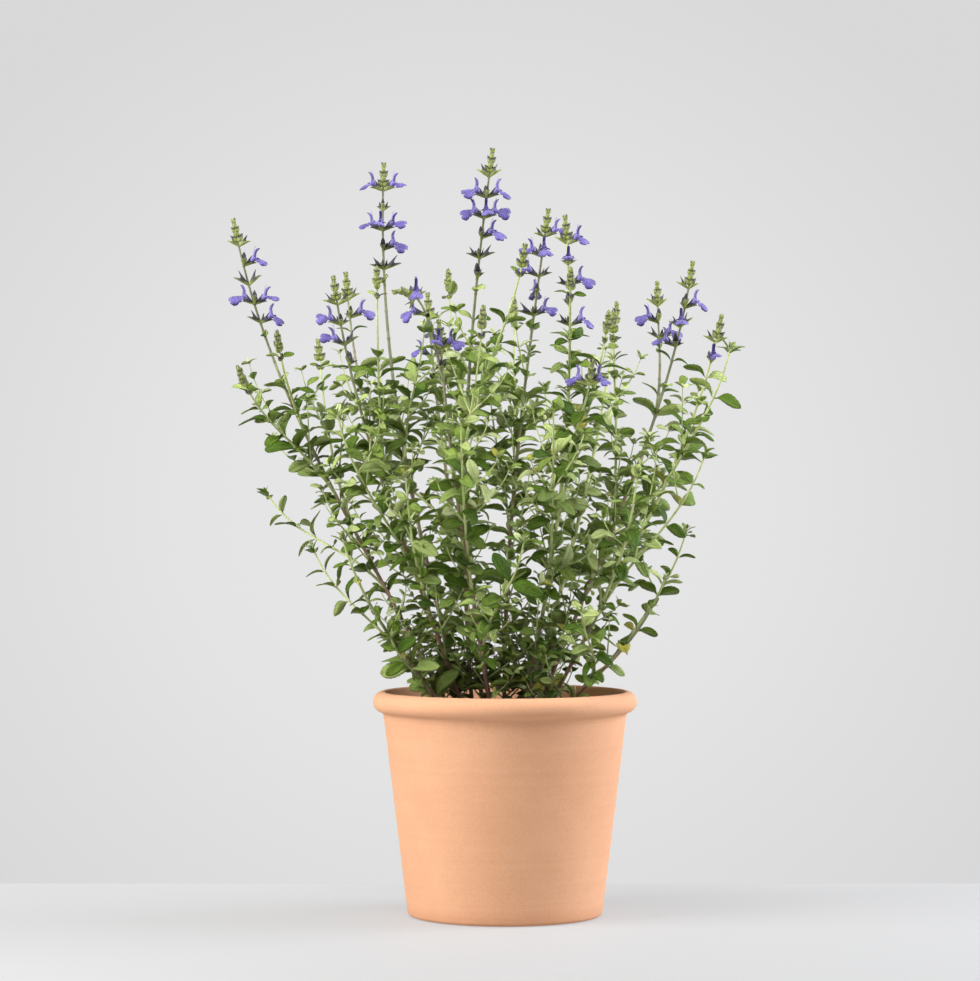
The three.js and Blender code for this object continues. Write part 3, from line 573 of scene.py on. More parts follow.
for plant in plants:
    for shoot in plant["shoots"]:
        length = shoot.line.length
        for level in range(BUD_LEVELS[shoot.head]):
            shoot.joint(length - TOP_BUDS - level * BUD_SPACING)
        shoot.whorls = [shoot.joint(length - FIRST_WHORL - n * WHORL_SPACING)
                        for n in range(len(shoot.spike))]

for plant in plants:
    for shoot in plant["shoots"]:
        is_main = shoot is plant["shoots"][0]
        bare = STEM_DEPTH + BARE_FOOT if is_main else shoot.start + BARE_SHOOT
        top = BARE_UNDER[shoot.head]
        if shoot.spike:
            top += FIRST_WHORL + (len(shoot.spike) - 1) * WHORL_SPACING
        leafy = shoot.line.length - bare - top
        if leafy > 0:
            pairs = math.ceil(leafy / PAIR_SPACING)
            wanted = [shoot.joint(bare + pair / pairs * leafy) for pair in range(pairs + 1)]
            for pair in range(pairs):
                for step in range(PAIRS_BETWEEN):
                    share = step / PAIRS_BETWEEN
                    place = mix(wanted[pair], wanted[pair + 1], share)
                    shoot.leaf_joints.append((pair + share, PAIRS_BETWEEN * pair + step, place))
            shoot.leaf_joints.append((pairs, PAIRS_BETWEEN * pairs, wanted[pairs]))

# Twigs: short leafy shoots that stand in the axils of the lower leaves, and a tuft of them at
# the foot of each main stem. Their chances and heights are for the middle and for the outside.
TWIG_CHANCES = (0.5, 0.26)
TWIGS_UP_TO = (452, 395)
TWIG_REACH = 0.74
MORE_TWIGS_LOW = 1.15
FEWER_UPWARDS = 0.6
TWIG_LENGTHS = (20, 50)
SHORTER_UPWARDS = (1.1, 0.65)
LONG_TWIGS = 0.3
LONG_TWIG = 1.5
LONG_TILTS = (0.4, 0.8)
SHORT_TILTS = (0.6, 1.1)
TWIG_SWING = 1.3
TWIG_RISE = 0.3
TWIG_LIFT = 0.2
TIP_LEAF_ROOM = 8
SHORTEST_TWIG = 12
RIM_ROOM = 6
NEAR_RIM = 14
YOUNG_TWIGS = 0.2
OLDEST_TWIG = 0.55
YOUNGER_OVER = 260
FOOT_TWIGS = 4
FOOT_TWIGS_FROM = (3, 34)
FOOT_TWIG_RISES = (0.35, 1.3)
FOOT_TWIG_LENGTHS = (24, 58)
MIDDLE_REACH = 60
OUTSIDE_REACH = 130
ROUND_THE_FOOT = [(160, 74), (178, 80), (200, 88), (228, 103), (256, 118), (286, 130), (322, 146),
                  (360, 172), (390, 230)]


def is_in_outline(point):
    """Whether a point is inside the outline that the plant's leafy foot keeps at its height."""
    return math.hypot(point.x, point.y) < np.interp(point.z, *zip(*ROUND_THE_FOOT))


def outwardness(point):
    """How far out a point of the plant is: 0 in the middle, 1 on its outer stems."""
    return float(np.interp(math.hypot(point.x, point.y), (MIDDLE_REACH, OUTSIDE_REACH), (0, 1)))


def add_twig(plant, parent, distance, direction, length, key):
    """Grows a twig, short enough to stay in the outline, unless none would fit there."""
    start = parent.frame(distance)[0]
    while not is_in_outline(start + direction * (length + TIP_LEAF_ROOM) + UP * length * TWIG_RISE):
        length -= 4
        if length < SHORTEST_TWIG:
            return
    tip = start + direction * length + UP * length * TWIG_RISE
    if tip.z < POT_HEIGHT + RIM_ROOM and math.hypot(tip.x, tip.y) > inside_radius(SOIL_LEVEL) - NEAR_RIM:
        tip.z = POT_HEIGHT + RIM_ROOM
    line = Line(start, (direction + UP * TWIG_LIFT).normalized(), tip)
    twig = Shoot(line, TWIG_RADII, "twig", [], key)
    is_young = chance(key, 5, 45) < YOUNG_TWIGS
    twig.age = 0 if is_young else mix(OLDEST_TWIG, 0.0, min(1, (start.z - SOIL_LEVEL) / YOUNGER_OVER))
    plant["twigs"].append(twig)


def add_axil_twigs(plant, shoot, number, distance):
    """Grows twigs by chance above one pair of leaves, one on each side."""
    height = distance / shoot.line.length
    place = shoot.frame(distance)[0]
    outer = outwardness(place)
    if height >= TWIG_REACH or place.z >= mix(*TWIGS_UP_TO, outer):
        return
    key = shoot.number * 40 + number
    share = mix(*TWIG_CHANCES, outer) * (MORE_TWIGS_LOW - FEWER_UPWARDS * height)
    for side in (number % 2, number % 2 + 2):
        if chance(key, side, 31) < share:
            is_long = chance(key, side, 35) < LONG_TWIGS
            tilt = mix(*(LONG_TILTS if is_long else SHORT_TILTS), chance(key, side, 32))
            direction = shoot.outward(distance, side, tilt, TWIG_SWING * (chance(key, side, 33) - 0.5))
            length = mix(*TWIG_LENGTHS, chance(key, side, 34)) * mix(*SHORTER_UPWARDS, height)
            length *= LONG_TWIG if is_long else 1
            add_twig(plant, shoot, distance, direction, length, key * 4 + side)


for plant in plants:
    for shoot in plant["shoots"]:
        for _, number, distance in shoot.leaf_joints:
            add_axil_twigs(plant, shoot, number, distance)
    main = plant["shoots"][0]
    for i in range(FOOT_TWIGS):
        key = main.number * 90 + i
        distance = STEM_DEPTH + mix(*FOOT_TWIGS_FROM, chance(key, 1, 41))
        turn = 2 * math.pi * chance(key, 2, 42)
        rise = mix(*FOOT_TWIG_RISES, chance(key, 3, 43))
        direction = Vector((math.cos(turn), math.sin(turn), rise))
        length = mix(*FOOT_TWIG_LENGTHS, chance(key, 4, 44))
        add_twig(plant, main, distance, direction.normalized(), length, 7000 + key)

stem_tree, source, sink, add = node_group("GeometryNodeTree", "square stems", [
    ("Lines", "Geometry"), ("Side", "Float", 1.5), ("Rounding", "Float", 0.3), ("Finish", "Material")],
    [("Made", "Geometry")])
lines = add("GeometryNodeMeshToCurve", {"Mesh": source["Lines"]})
square = add("GeometryNodeCurvePrimitiveQuadrilateral", {"Width": source["Side"], "Height": source["Side"]})
rounded = add("GeometryNodeFilletCurve", {
    "Curve": square.outputs[0], "Radius": source["Rounding"], "Count": 2}, mode="POLY")
thick = add("GeometryNodeInputNamedAttribute", {"Name": "thick"}, data_type="FLOAT")
swept = add("GeometryNodeCurveToMesh", {
    "Curve": lines.outputs[0], "Profile Curve": rounded.outputs[0], "Scale": thick.outputs[0],
    "Fill Caps": True})
smooth = add("GeometryNodeSetShadeSmooth", {"Geometry": swept.outputs[0]})
close_tree(sink, source, add, smooth.outputs[0])

GREEN_STEMS = ("right_middle", "right_outer", "right_low", "left_low")
STEM_STEP = 5
TWIG_STEP = 3
SWELLING = 1.3
SWELLING_REACH = 1.6
MAIN_FULLNESS = (0.82, 1.1)
SHOOT_FULLNESS = 1.05
GREENS_OVER = 130
DUSKY_OVER = 250
YOUNGEST = 0.12
DUSKY_YOUNGEST = 0.48
OLDEST_MAIN = 1.0
OLDEST_SHOOT = 0.55
OLDEST_YOUNG_TWIG = 0.2


def carry(mesh, named_values, kind="FLOAT", field="value"):
    """Gives a mesh's points their own numbers or vectors, by name."""
    for label, values in named_values.items():
        mesh.attributes.new(label, kind, "POINT").data.foreach_set(field, values)


def stem_lines(name, shoots):
    """The shoots' middle lines as edges, with each point's thickness and age."""
    points, edges, thick, age = [], [], [], []
    for shoot in shoots:
        length = shoot.line.length
        joints = [place for _, _, place in shoot.leaf_joints] + shoot.whorls
        step = TWIG_STEP if shoot.head == "twig" else STEM_STEP
        marks = set(np.linspace(0, length, max(4, int(length / step))).tolist())
        for place in joints:
            marks.update((place - SWELLING_REACH, place, place + SWELLING_REACH))
        is_main = shoot is shoots[0]
        is_dusky = shoot.spike and name not in GREEN_STEMS
        oldest = OLDEST_MAIN if is_main else OLDEST_YOUNG_TWIG if shoot.age < 0.05 else OLDEST_SHOOT
        marks = sorted(m for m in marks if 0 <= m <= length)
        for i, distance in enumerate(marks):
            swelling = any(abs(place - distance) < 0.8 for place in joints)
            if i:
                edges.append((len(points) - 1, len(points)))
            points.append(shoot.line.at(distance)[0])
            fuller = SHOOT_FULLNESS
            if is_main:
                fuller = mix(*MAIN_FULLNESS, min(1, 1.6 * distance / length))
            thick.append(MM * fuller * shoot.radius(distance) * (SWELLING if swelling else 1))
            low = min(1, (points[-1].z - SOIL_LEVEL) / (DUSKY_OVER if is_dusky else GREENS_OVER))
            age.append(mix(oldest, DUSKY_YOUNGEST if is_dusky else YOUNGEST, low))
    mesh = bpy.data.meshes.new(name)
    mesh.from_pydata([tuple(p * MM) for p in points], edges, [])
    carry(mesh, {"thick": thick, "age": age})
    return mesh


bark = Finish("sage stem")
fibre = bark.streaks((900.0, 900.0, 90.0))
uneven = bark.spread(bark.noise(70.0, 4.0), 0.25, 0.75, -0.15, 0.15)
colour = bark.ramp(bark.math("ADD", bark.carried("age"), uneven), (0.1, (0.55, 0.62, 0.26)),
                   (0.3, (0.40, 0.45, 0.17)), (0.48, (0.185, 0.20, 0.105)), (0.62, (0.31, 0.25, 0.14)),
                   (0.8, (0.33, 0.20, 0.14)), (1.0, (0.19, 0.105, 0.08)))
colour = bark.stain(colour, fibre, 0.35, 0.6, (0.72, 0.70, 0.66), 0.6)
bark_finish = bark.finish(colour, 0.62, fibre, 0.35, 0.0003)

for plant in plants:
    made = new_object("stem", stem_lines(plant["name"], plant["shoots"] + plant["twigs"]))
    plant["parts"] = [run_tree(made, stem_tree, Finish=bark_finish)]

# ---- The leaves ----
# Small oval leaves in opposite pairs, each pair a quarter turn round the stem from the last:
# dark, finely veined and downy above, greyer beneath, with a bluntly toothed edge.
LOWEST_LEAF = 20
WIDER_AT_THE_MIDDLE = 5
HIGHEST_LEAF = 15
LEAF_LENGTHS = (0.7, 1.25)
LEAF_WIDTHS = (0.76, 1.0)
LEAF_TILT = 1.1
LEAF_LEAN = 0.4
LEAF_SWING = 0.7
LEAF_ROLLS = (2.2, 1.15)
ROLLS_SETTLE_OVER = 110
LEAF_AGES = (0.8, 0.4)
OPEN_LEAF_CHANCE = 0.55
LEAF_THICKNESS = 0.022
LEAF_TWISTS = (-0.45, 0.6, 0.3)
LEAF_BENDS = (-0.06, 0.09, 0.04)
FACES_ALONG = 0.4
FACES_OUT = 0.25
LOOSE_ABOVE = (475, 425)
SMALL_ABOVE = 435
SMALL_LEAF = 0.75
STRAY_LEAF = 0.85
STRAY_MARGIN = 1.08
AXIL_LEAVES = (13, 8)
AXIL_LEAF_CHANCE = 0.5
AXIL_TILT = 0.7
AXIL_SIDE = 0.35
TIP_LEAVES = ((12, 0.85), (9, 0.6), (6, 0.35))
TWIG_LEAVES = (20, 12)
TWIG_LEAF_SIZES = (0.75, 1.15)
TWIG_LEAF_TILTS = (1.3, 0.95)
TWIG_LEAF_SPACING = 13
LOW_TWIG_LEAF = 0.85
LOW_TWIGS_UNDER = 70
SOIL_REACH = 90
RIM_REACH = 82
OPEN_LEAF, ARCHED_LEAF, YOUNG_LEAF = 0, 1, 2


def closed_mesh(name, points, faces, marks):
    """A smooth closed mesh with its faces pointing outwards, and a mark for each face's corner."""
    mesh = bpy.data.meshes.new(name)
    mesh.from_pydata(points, [], faces)
    layer = mesh.uv_layers.new(name="UVMap")
    layer.data.foreach_set("uv", [c for mark in marks for c in mark])
    mesh.update()
    loose = bmesh.new()
    loose.from_mesh(mesh)
    bmesh.ops.recalc_face_normals(loose, faces=loose.faces)
    loose.to_mesh(mesh)
    loose.free()
    mesh.shade_smooth()
    return mesh


def blade_mesh(name, sections, columns, thickness):
    """A thin closed blade of length 1 along x, with its top to z. Each section is (x, z of the
    rib, half width, height of its edge over the rib, bulge between them). Its map runs from 0 to
    1 along and across, and is moved on by 2 along the underside."""
    across = [2 * i / columns - 1 for i in range(columns + 1)]
    middle = columns // 2
    last = len(sections) - 1
    start, end = sections[0][0], sections[-1][0]
    points = []
    for x, rib, half, edge, bulge in sections:
        for v in across:
            lift = edge * abs(v) + bulge * math.sin(math.pi * abs(v))
            points.append((x, half * v, rib + lift))
        points.append((x, 0, rib - thickness))

    def point_at(ring, column, under):
        return ring * (columns + 2) + (columns + 1 if under and column == middle else column)

    def mark_at(ring, column, under):
        return (sections[ring][0] - start) / (end - start) + 2 * under, (across[column] + 1) / 2

    corners = []
    for ring in range(last):
        for k in range(columns):
            corners.append([(ring, k, 0), (ring + 1, k, 0), (ring + 1, k + 1, 0), (ring, k + 1, 0)])
        for left, right in ((0, middle), (middle, columns)):
            corners.append([(ring, left, 1), (ring, right, 1), (ring + 1, right, 1), (ring + 1, left, 1)])
    foot = [(0, k, 0) for k in range(columns + 1)] + [(0, middle, 1)]
    corners += [foot, [(last, column, under) for _, column, under in reversed(foot)]]
    faces = [tuple(point_at(*corner) for corner in face) for face in corners]
    return closed_mesh(name, points, faces, [mark_at(*corner) for face in corners for corner in face])


def leaf_sections(outline, fold, bulge, arch, droop):
    """Sections of a leaf: a short stalk, then a blade whose rib rises by arch and whose tip droops."""
    sections = [(0, 0, 0.03, 0.0, 0), (0.1, 0.008, 0.032, 0.004, 0)]
    for x, half in outline:
        share = (x - 0.1) / 0.9
        rib = arch * math.sin(math.pi * min(1, share * 1.15)) - droop * share ** 2.2
        sections.append((x, rib, half, fold * half / 0.24 * (1 - 0.5 * share), bulge * half / 0.24))
    return sections


broad_outline = [(0.15, 0.10), (0.22, 0.17), (0.29, 0.232), (0.36, 0.236), (0.43, 0.272), (0.50, 0.254),
                 (0.57, 0.276), (0.64, 0.248), (0.71, 0.256), (0.78, 0.212), (0.85, 0.198),
                 (0.91, 0.142), (0.965, 0.092), (1.0, 0.02)]
slim_outline = [(0.17, 0.09), (0.27, 0.168), (0.38, 0.19), (0.48, 0.218), (0.58, 0.20), (0.68, 0.205),
                (0.78, 0.162), (0.87, 0.135), (0.95, 0.075), (1.0, 0.015)]
leaf_shapes = [
    ("open_leaf", leaf_sections(broad_outline, 0.075, 0.018, 0.05, 0.10)),
    ("arched_leaf", leaf_sections(broad_outline, 0.10, 0.024, 0.08, 0.26)),
    ("young_leaf", leaf_sections(slim_outline, 0.10, 0.014, 0.03, 0.10)),
]
leaf_kinds = []
for (name, sections), twist, bend in zip(leaf_shapes, LEAF_TWISTS, LEAF_BENDS):
    kind = new_object(name, blade_mesh(name, sections, 4, LEAF_THICKNESS))
    for vertex in kind.data.vertices:
        x = vertex.co.x
        vertex.co = Matrix.Rotation(twist * x, 3, "X") @ vertex.co
        vertex.co.y += bend * x * x
    leaf_kinds.append(kind)

KINDS = ("First kind", "Second kind", "Third kind")
limb_tree, source, sink, add = node_group("GeometryNodeTree", "limbs on stems", [
    ("Places", "Geometry"), *[(label, "Object") for label in KINDS], ("Size", "Float", 1.0),
    ("Finish", "Material")], [("Made", "Geometry")])
kind = add("GeometryNodeInputNamedAttribute", {"Name": "kind"}, data_type="FLOAT")
turned = add("GeometryNodeInputNamedAttribute", {"Name": "turned"}, data_type="FLOAT_VECTOR")
sized = add("GeometryNodeInputNamedAttribute", {"Name": "sized"}, data_type="FLOAT_VECTOR")
scaled = add("ShaderNodeVectorMath", {0: sized.outputs[0], "Scale": source["Size"]}, operation="SCALE")
joined_limbs = add("GeometryNodeJoinGeometry")
for index, label in enumerate(KINDS):
    shape = add("GeometryNodeObjectInfo", {"Object": source[label]})
    chosen = add("FunctionNodeCompare", {0: kind.outputs[0], 1: float(index), "Epsilon": 0.1},
                 operation="EQUAL")
    limbs = add("GeometryNodeInstanceOnPoints", {
        "Points": source["Places"], "Selection": chosen.outputs[0], "Instance": shape.outputs["Geometry"],
        "Rotation": turned.outputs[0], "Scale": scaled.outputs[0]})
    fill(joined_limbs, {0: limbs.outputs[0]})
close_tree(sink, source, add, joined_limbs.outputs[0])


def grow_limbs(name, limbs, kinds, finish):
    """Limbs of three kinds on a plant. A limb is (place, direction, top, size, kind, shade, age)."""
    mesh = bpy.data.meshes.new(name)
    mesh.from_pydata([tuple(limb[0] * MM) for limb in limbs], [], [])
    turned, sized = [], []
    for _, direction, top, size, *_ in limbs:
        along = direction.normalized()
        across = top.cross(along).normalized()
        turned.extend(Matrix((along, across, along.cross(across))).transposed().to_euler())
        sized.extend(MM * c for c in (size if isinstance(size, tuple) else (size, size, size)))
    kind, shade, age = ([float(number) for number in column] for column in list(zip(*limbs))[4:])
    carry(mesh, {"turned": turned, "sized": sized}, "FLOAT_VECTOR", "vector")
    carry(mesh, {"kind": kind, "shade": shade, "age": age})
    first, second, third = kinds
    return run_tree(new_object(name, mesh), limb_tree, First_kind=first, Second_kind=second,
                    Third_kind=third, Finish=finish)


def meets_pot(place, direction, length):
    """Whether a leaf would cut the pot's rim or the soil."""
    for share in (0.4, 0.7, 1.0):
        point = place + direction.normalized() * length * share - UP * length * 0.12 * share
        reach = math.hypot(point.x, point.y)
        if point.z < SOIL_LEVEL + 3 and reach < SOIL_REACH:
            return True
        if point.z < POT_HEIGHT + 1.5 and reach > RIM_REACH:
            return True
    return False


def add_pair(limbs, shoot, distance, sides, size, key, tilt, age, kinds=(OPEN_LEAF, ARCHED_LEAF)):
    """Adds a pair of leaves, each a little its own in length, width, tilt, swing and roll."""
    place, along, _, _ = shoot.frame(distance)
    top = along * FACES_ALONG + UP + Vector((place.x, place.y, 0)).normalized() * FACES_OUT
    length = size * mix(*LEAF_LENGTHS, chance(*key, 8))
    for side in sides:
        lean = tilt + LEAF_LEAN * (chance(*key, side + 4) - 0.5)
        direction = shoot.outward(distance, side, lean, LEAF_SWING * (chance(*key, side) - 0.5))
        if shoot.head == "twig":
            direction.z = mix(0.12, direction.z, 0.5) + 0.5 * (chance(*key, side + 30) - 0.5)
            if not is_in_outline(place + direction.normalized() * length):
                continue
        if meets_pot(place, direction, length):
            continue
        kind = kinds[0] if chance(*key, side + 12) < OPEN_LEAF_CHANCE else kinds[1]
        width = mix(*LEAF_WIDTHS, chance(*key, side + 16))
        freedom = mix(*LEAF_ROLLS, min(1, (place.z - SOIL_LEVEL) / ROLLS_SETTLE_OVER))
        roll = Quaternion(direction.normalized(), freedom * (chance(*key, side + 20) - 0.5))
        limbs.append((place, direction, roll @ top, (length, length * width, length), kind,
                      chance(*key, side + 24), age))


def add_shoot_leaves(limbs, shoot):
    """The leaves of a main stem or side shoot: its pairs, small ones in their axils, and its tip."""
    for pair, number, distance in shoot.leaf_joints:
        sides = (number % 2, number % 2 + 2)
        share = distance / shoot.line.length
        place = shoot.frame(distance)[0]
        is_high = place.z > mix(*LOOSE_ABOVE, outwardness(place))
        is_stray = not is_in_outline(place * STRAY_MARGIN)
        if is_high and number % PAIRS_BETWEEN:
            continue
        size = mix(LOWEST_LEAF, HIGHEST_LEAF, share) + WIDER_AT_THE_MIDDLE * math.sin(math.pi * share)
        size *= STRAY_LEAF if is_stray else SMALL_LEAF if place.z > SMALL_ABOVE else 1
        age = mix(*LEAF_AGES, share)
        add_pair(limbs, shoot, distance, sides, size, (shoot.number, pair), LEAF_TILT, age)
        if not is_high and not is_stray and chance(shoot.number, number, 57) < AXIL_LEAF_CHANCE:
            add_pair(limbs, shoot, distance + 1, (sides[0] + AXIL_SIDE, sides[1] + AXIL_SIDE),
                     mix(*AXIL_LEAVES, share), (shoot.number, pair + 0.5), AXIL_TILT, age * 0.5,
                     (YOUNG_LEAF, OPEN_LEAF))
    if shoot.head == "leaves":
        for level, (size, tilt) in enumerate(TIP_LEAVES):
            distance = shoot.line.length - 4 + 2 * level
            add_pair(limbs, shoot, distance, (level % 2, level % 2 + 2), size,
                     (shoot.number, 50 + level), tilt, 0.1, (YOUNG_LEAF, OPEN_LEAF))


def add_twig_leaves(limbs, twig):
    """The leaves of a twig: pairs that get smaller towards its end, and a small pair at its tip."""
    length = twig.line.length
    pairs = max(2, round(length / TWIG_LEAF_SPACING))
    for pair in range(1, pairs + 1):
        size = mix(*TWIG_LEAVES, pair / pairs) * mix(*TWIG_LEAF_SIZES, chance(twig.number, pair, 51))
        size *= LOW_TWIG_LEAF if twig.line.corners[0].z < SOIL_LEVEL + LOW_TWIGS_UNDER else 1
        add_pair(limbs, twig, length * pair / pairs, (pair % 2, pair % 2 + 2), size,
                 (twig.number, pair), mix(*TWIG_LEAF_TILTS, pair / pairs), twig.age + 0.1)
    add_pair(limbs, twig, length, ((pairs + 1) % 2, (pairs + 1) % 2 + 2), 9,
             (twig.number, 60), 0.6, 0.05, (YOUNG_LEAF, OPEN_LEAF))


# Where a spot on a leaf or petal is, from its place on the piece's map.
blade_group, source, sink, add = node_group("ShaderNodeTree", "place on a blade", [("Spot", "Vector")], [
    ("Along", "Float"), ("From rib", "Float"), ("Under", "Float")])
spot = add("ShaderNodeSeparateXYZ", {0: source["Spot"]}).outputs
along = add("ShaderNodeMath", {0: spot["X"], 1: 2.0}, operation="MODULO")
sideways = add("ShaderNodeMath", {0: spot["Y"], 1: 0.5}, operation="SUBTRACT")
from_rib = add("ShaderNodeMath", {0: sideways.outputs[0]}, operation="ABSOLUTE")
under = add("ShaderNodeMath", {0: spot["X"], 1: 1.5}, operation="GREATER_THAN")
fill(sink, {0: along.outputs[0], 1: from_rib.outputs[0], 2: under.outputs[0]})

leaf = Finish("sage leaf")
along, from_rib, under = leaf.add("ShaderNodeGroup", {0: leaf.mapped()}, node_tree=blade_group).outputs
tone = leaf.carried("shade")
age = leaf.carried("age")
mottle = leaf.noise(160.0, 3.0)
slant = leaf.math("MULTIPLY_ADD", from_rib, -0.62, along)
side_veins = leaf.spread(leaf.math("SINE", leaf.math("MULTIPLY", slant, 46.0)), 0.78, 1.0)
rib = leaf.spread(from_rib, 0.018, 0.05, 1.0, 0.0)
veins = leaf.math("MAXIMUM", side_veins, rib)
tones = leaf.math("MULTIPLY_ADD", mottle, 0.35, tone)
grown = leaf.ramp(tones, (0.15, (0.029, 0.080, 0.002)), (0.55, (0.137, 0.242, 0.007)),
                  (1.0, (0.60, 0.72, 0.24)))
young = leaf.ramp(tones, (0.15, (0.17, 0.26, 0.025)), (0.6, (0.35, 0.46, 0.105)), (1.0, (0.69, 0.77, 0.38)))
green = leaf.blend(leaf.spread(age, 0.12, 0.5, 1.0, 0.0), grown, young)
green = leaf.blend(leaf.spread(age, 0.35, 0.7, 0.0, 0.6), green, (0.062, 0.132, 0.008))
green = leaf.blend(leaf.math("GREATER_THAN", tone, 0.988), green, (0.50, 0.46, 0.08))
pale = leaf.blend(0.5, green, (0.31, 0.39, 0.11))
top_colour = leaf.blend(leaf.math("MULTIPLY", veins, 0.5), green, pale)
downy = leaf.blend(0.4, green, (0.18, 0.255, 0.03))
under_colour = leaf.blend(rib, downy, (0.27, 0.34, 0.14))
netting = leaf.spread(leaf.cells(850.0, "Distance", feature="DISTANCE_TO_EDGE"), 0.0, 0.25, 0.0, 0.5)
relief = leaf.math("SUBTRACT", netting, veins)
roughness = leaf.spread(mottle, 0, 1, 0.27, 0.43)
colour = leaf.blend(under, top_colour, under_colour)
leaf_finish = leaf.finish(colour, roughness, relief, 0.8, 0.0006, Specular_IOR_Level=0.2)

for plant in plants:
    limbs = []
    for shoot in plant["shoots"]:
        add_shoot_leaves(limbs, shoot)
    for twig in plant["twigs"]:
        add_twig_leaves(limbs, twig)
    plant["parts"].append(grow_limbs("leaves", limbs, leaf_kinds, leaf_finish))
for kind in leaf_kinds:
    bpy.data.objects.remove(kind)

# ---- The buds and calyces ----
# At the end of a flowering shoot stand tight, pale green buds in crossed pairs. Below them come
# whorls of ribbed, two-lipped calyces, dusky purple above and green beneath.
HEAD_LEVELS = 5
HEAD_DEPTH = {"buds": 13, "spike": 14}
HEAD_TOP = 1.5
TIP_BUD = 4.5
BUD_TILTS = (0.3, 0.58)
BUD_SIZES = (4.8, 7.4)
APART = 9
APART_TILT = 0.62
APART_BUD = 6
CALYX_LENGTH = 9.2
LOWER_IS_LONGER = 0.5
CALYX_SIZES = (0.95, 1.25)
CALYX_RISES = (0.45, 1.3)
TOP_WHORL_AGE = 0.52
OLDER_BY = 0.2
EXTRA_CALYX_CHANCE = 0.35
EXTRA_SIZES = (0.75, 1.15)
EXTRA_RISES = (0.6, 1.7)
OPEN_RISE = 0.62
BLOOM_RISE = 0.3
WHORL_SWING = 0.4
BLOOM_REACH = 11.5
SAME_BLOOM = 5
BELL_SIDES = 12
RIB_DEPTH = 0.07
BUD, CLOSED, OPEN = 0, 1, 2


def ringed_mesh(name, points, marks, sides):
    """A closed mesh through rings of points, each point with its mark."""
    rings = len(points) // sides
    faces = ring_faces(rings, sides)
    faces += [tuple(base + k for k in range(sides)) for base in (0, (rings - 1) * sides)]
    return closed_mesh(name, points, faces, [marks[corner] for face in faces for corner in face])


def bell_mesh(name, rings, tooth, hollow):
    """A ribbed bell of length 1 along x. Its mouth ends in one tooth above and two below, and it
    is hollow to the given depth. Its map gives how far along and how far round from the top."""
    points, marks = [], []
    mouth, mouth_radius = rings[-1]
    loops = [(x, radius, 0, RIB_DEPTH) for x, radius in rings[:-1]] + [(mouth, mouth_radius, tooth, 0.05)]
    if hollow:
        loops += [(mouth - 0.01, mouth_radius * 0.84, tooth, 0), (hollow, mouth_radius * 0.5, 0, 0)]
    for x, radius, teeth, rib in loops:
        for k in range(BELL_SIDES):
            turn = 2 * math.pi * k / BELL_SIDES
            drawn_out = max(0, math.cos(turn)) ** 6
            for side in (0.5, -0.5):
                drawn_out += 0.8 * max(0, -math.cos(turn + side)) ** 8
            reach = radius * (1 + (rib if k % 2 else -rib)) * (1 + 1.6 * teeth * drawn_out)
            points.append((x + teeth * drawn_out, reach * math.sin(turn), reach * math.cos(turn)))
            marks.append((x, 0.5 + 0.5 * math.cos(turn)))
    return ringed_mesh(name, points, marks, BELL_SIDES)


calyx_shapes = [
    ("bud", [(0, 0.1), (0.1, 0.22), (0.32, 0.32), (0.56, 0.29), (0.8, 0.16), (1.0, 0.02)], 0, 0),
    ("closed_calyx", [(0.0, 0.05), (0.15, 0.08), (0.4, 0.14), (0.6, 0.175), (0.72, 0.185)], 0.42, 0.45),
    ("open_calyx", [(0.0, 0.05), (0.14, 0.10), (0.4, 0.18), (0.66, 0.235), (0.8, 0.26)], 0.38, 0.5),
]
calyx_kinds = [new_object(name, bell_mesh(name, *shape)) for name, *shape in calyx_shapes]

husk = Finish("sage calyx")
spot = husk.axes(husk.mapped())
tone = husk.carried("shade")
down = husk.noise(700.0, 2.0)
light = husk.blend(tone, (0.23, 0.28, 0.06), (0.42, 0.48, 0.13))
dusky = husk.blend(tone, (0.036, 0.032, 0.044), (0.078, 0.070, 0.076))
on_top = husk.math("MULTIPLY", husk.spread(spot["Y"], 0, 1, 0.3, 1.0), spot["X"])
purple = husk.spread(husk.math("MULTIPLY", on_top, husk.carried("age")), 0.12, 0.30)
colour = husk.stain(husk.blend(purple, light, dusky), down, 0.4, 0.6, (0.86, 0.86, 0.84), 0.7)
husk_finish = husk.finish(colour, 0.68, down, 0.3, 0.0002)


def add_head(limbs, shoot):
    """The buds at the end of a shoot: one at its tip, crossed pairs below, and a pair set apart."""
    length = shoot.line.length
    place, along, side, _ = shoot.frame(length - 1)
    limbs.append((place, along, side, TIP_BUD, BUD, 0.6, 0.3))
    for level in range(HEAD_LEVELS):
        share = level / (HEAD_LEVELS - 1)
        distance = length - HEAD_TOP - HEAD_DEPTH[shoot.head] * share
        place, along, _, _ = shoot.frame(distance)
        for side in (level % 2, level % 2 + 2):
            tilt = mix(*BUD_TILTS, share) + 0.15 * chance(level, side, 62)
            tone = chance(shoot.number, level, side + 61)
            size = mix(*BUD_SIZES, share) * mix(0.9, 1.1, tone)
            limbs.append((place, shoot.outward(distance, side, tilt), along, size, BUD, tone,
                          mix(0.4, 0.8, tone)))
    if shoot.head == "buds":
        distance = length - HEAD_DEPTH["buds"] - APART
        place, along, _, _ = shoot.frame(distance)
        for side in (0, 2):
            limbs.append((place, shoot.outward(distance, side, APART_TILT), along, APART_BUD, BUD, 0.4, 1))


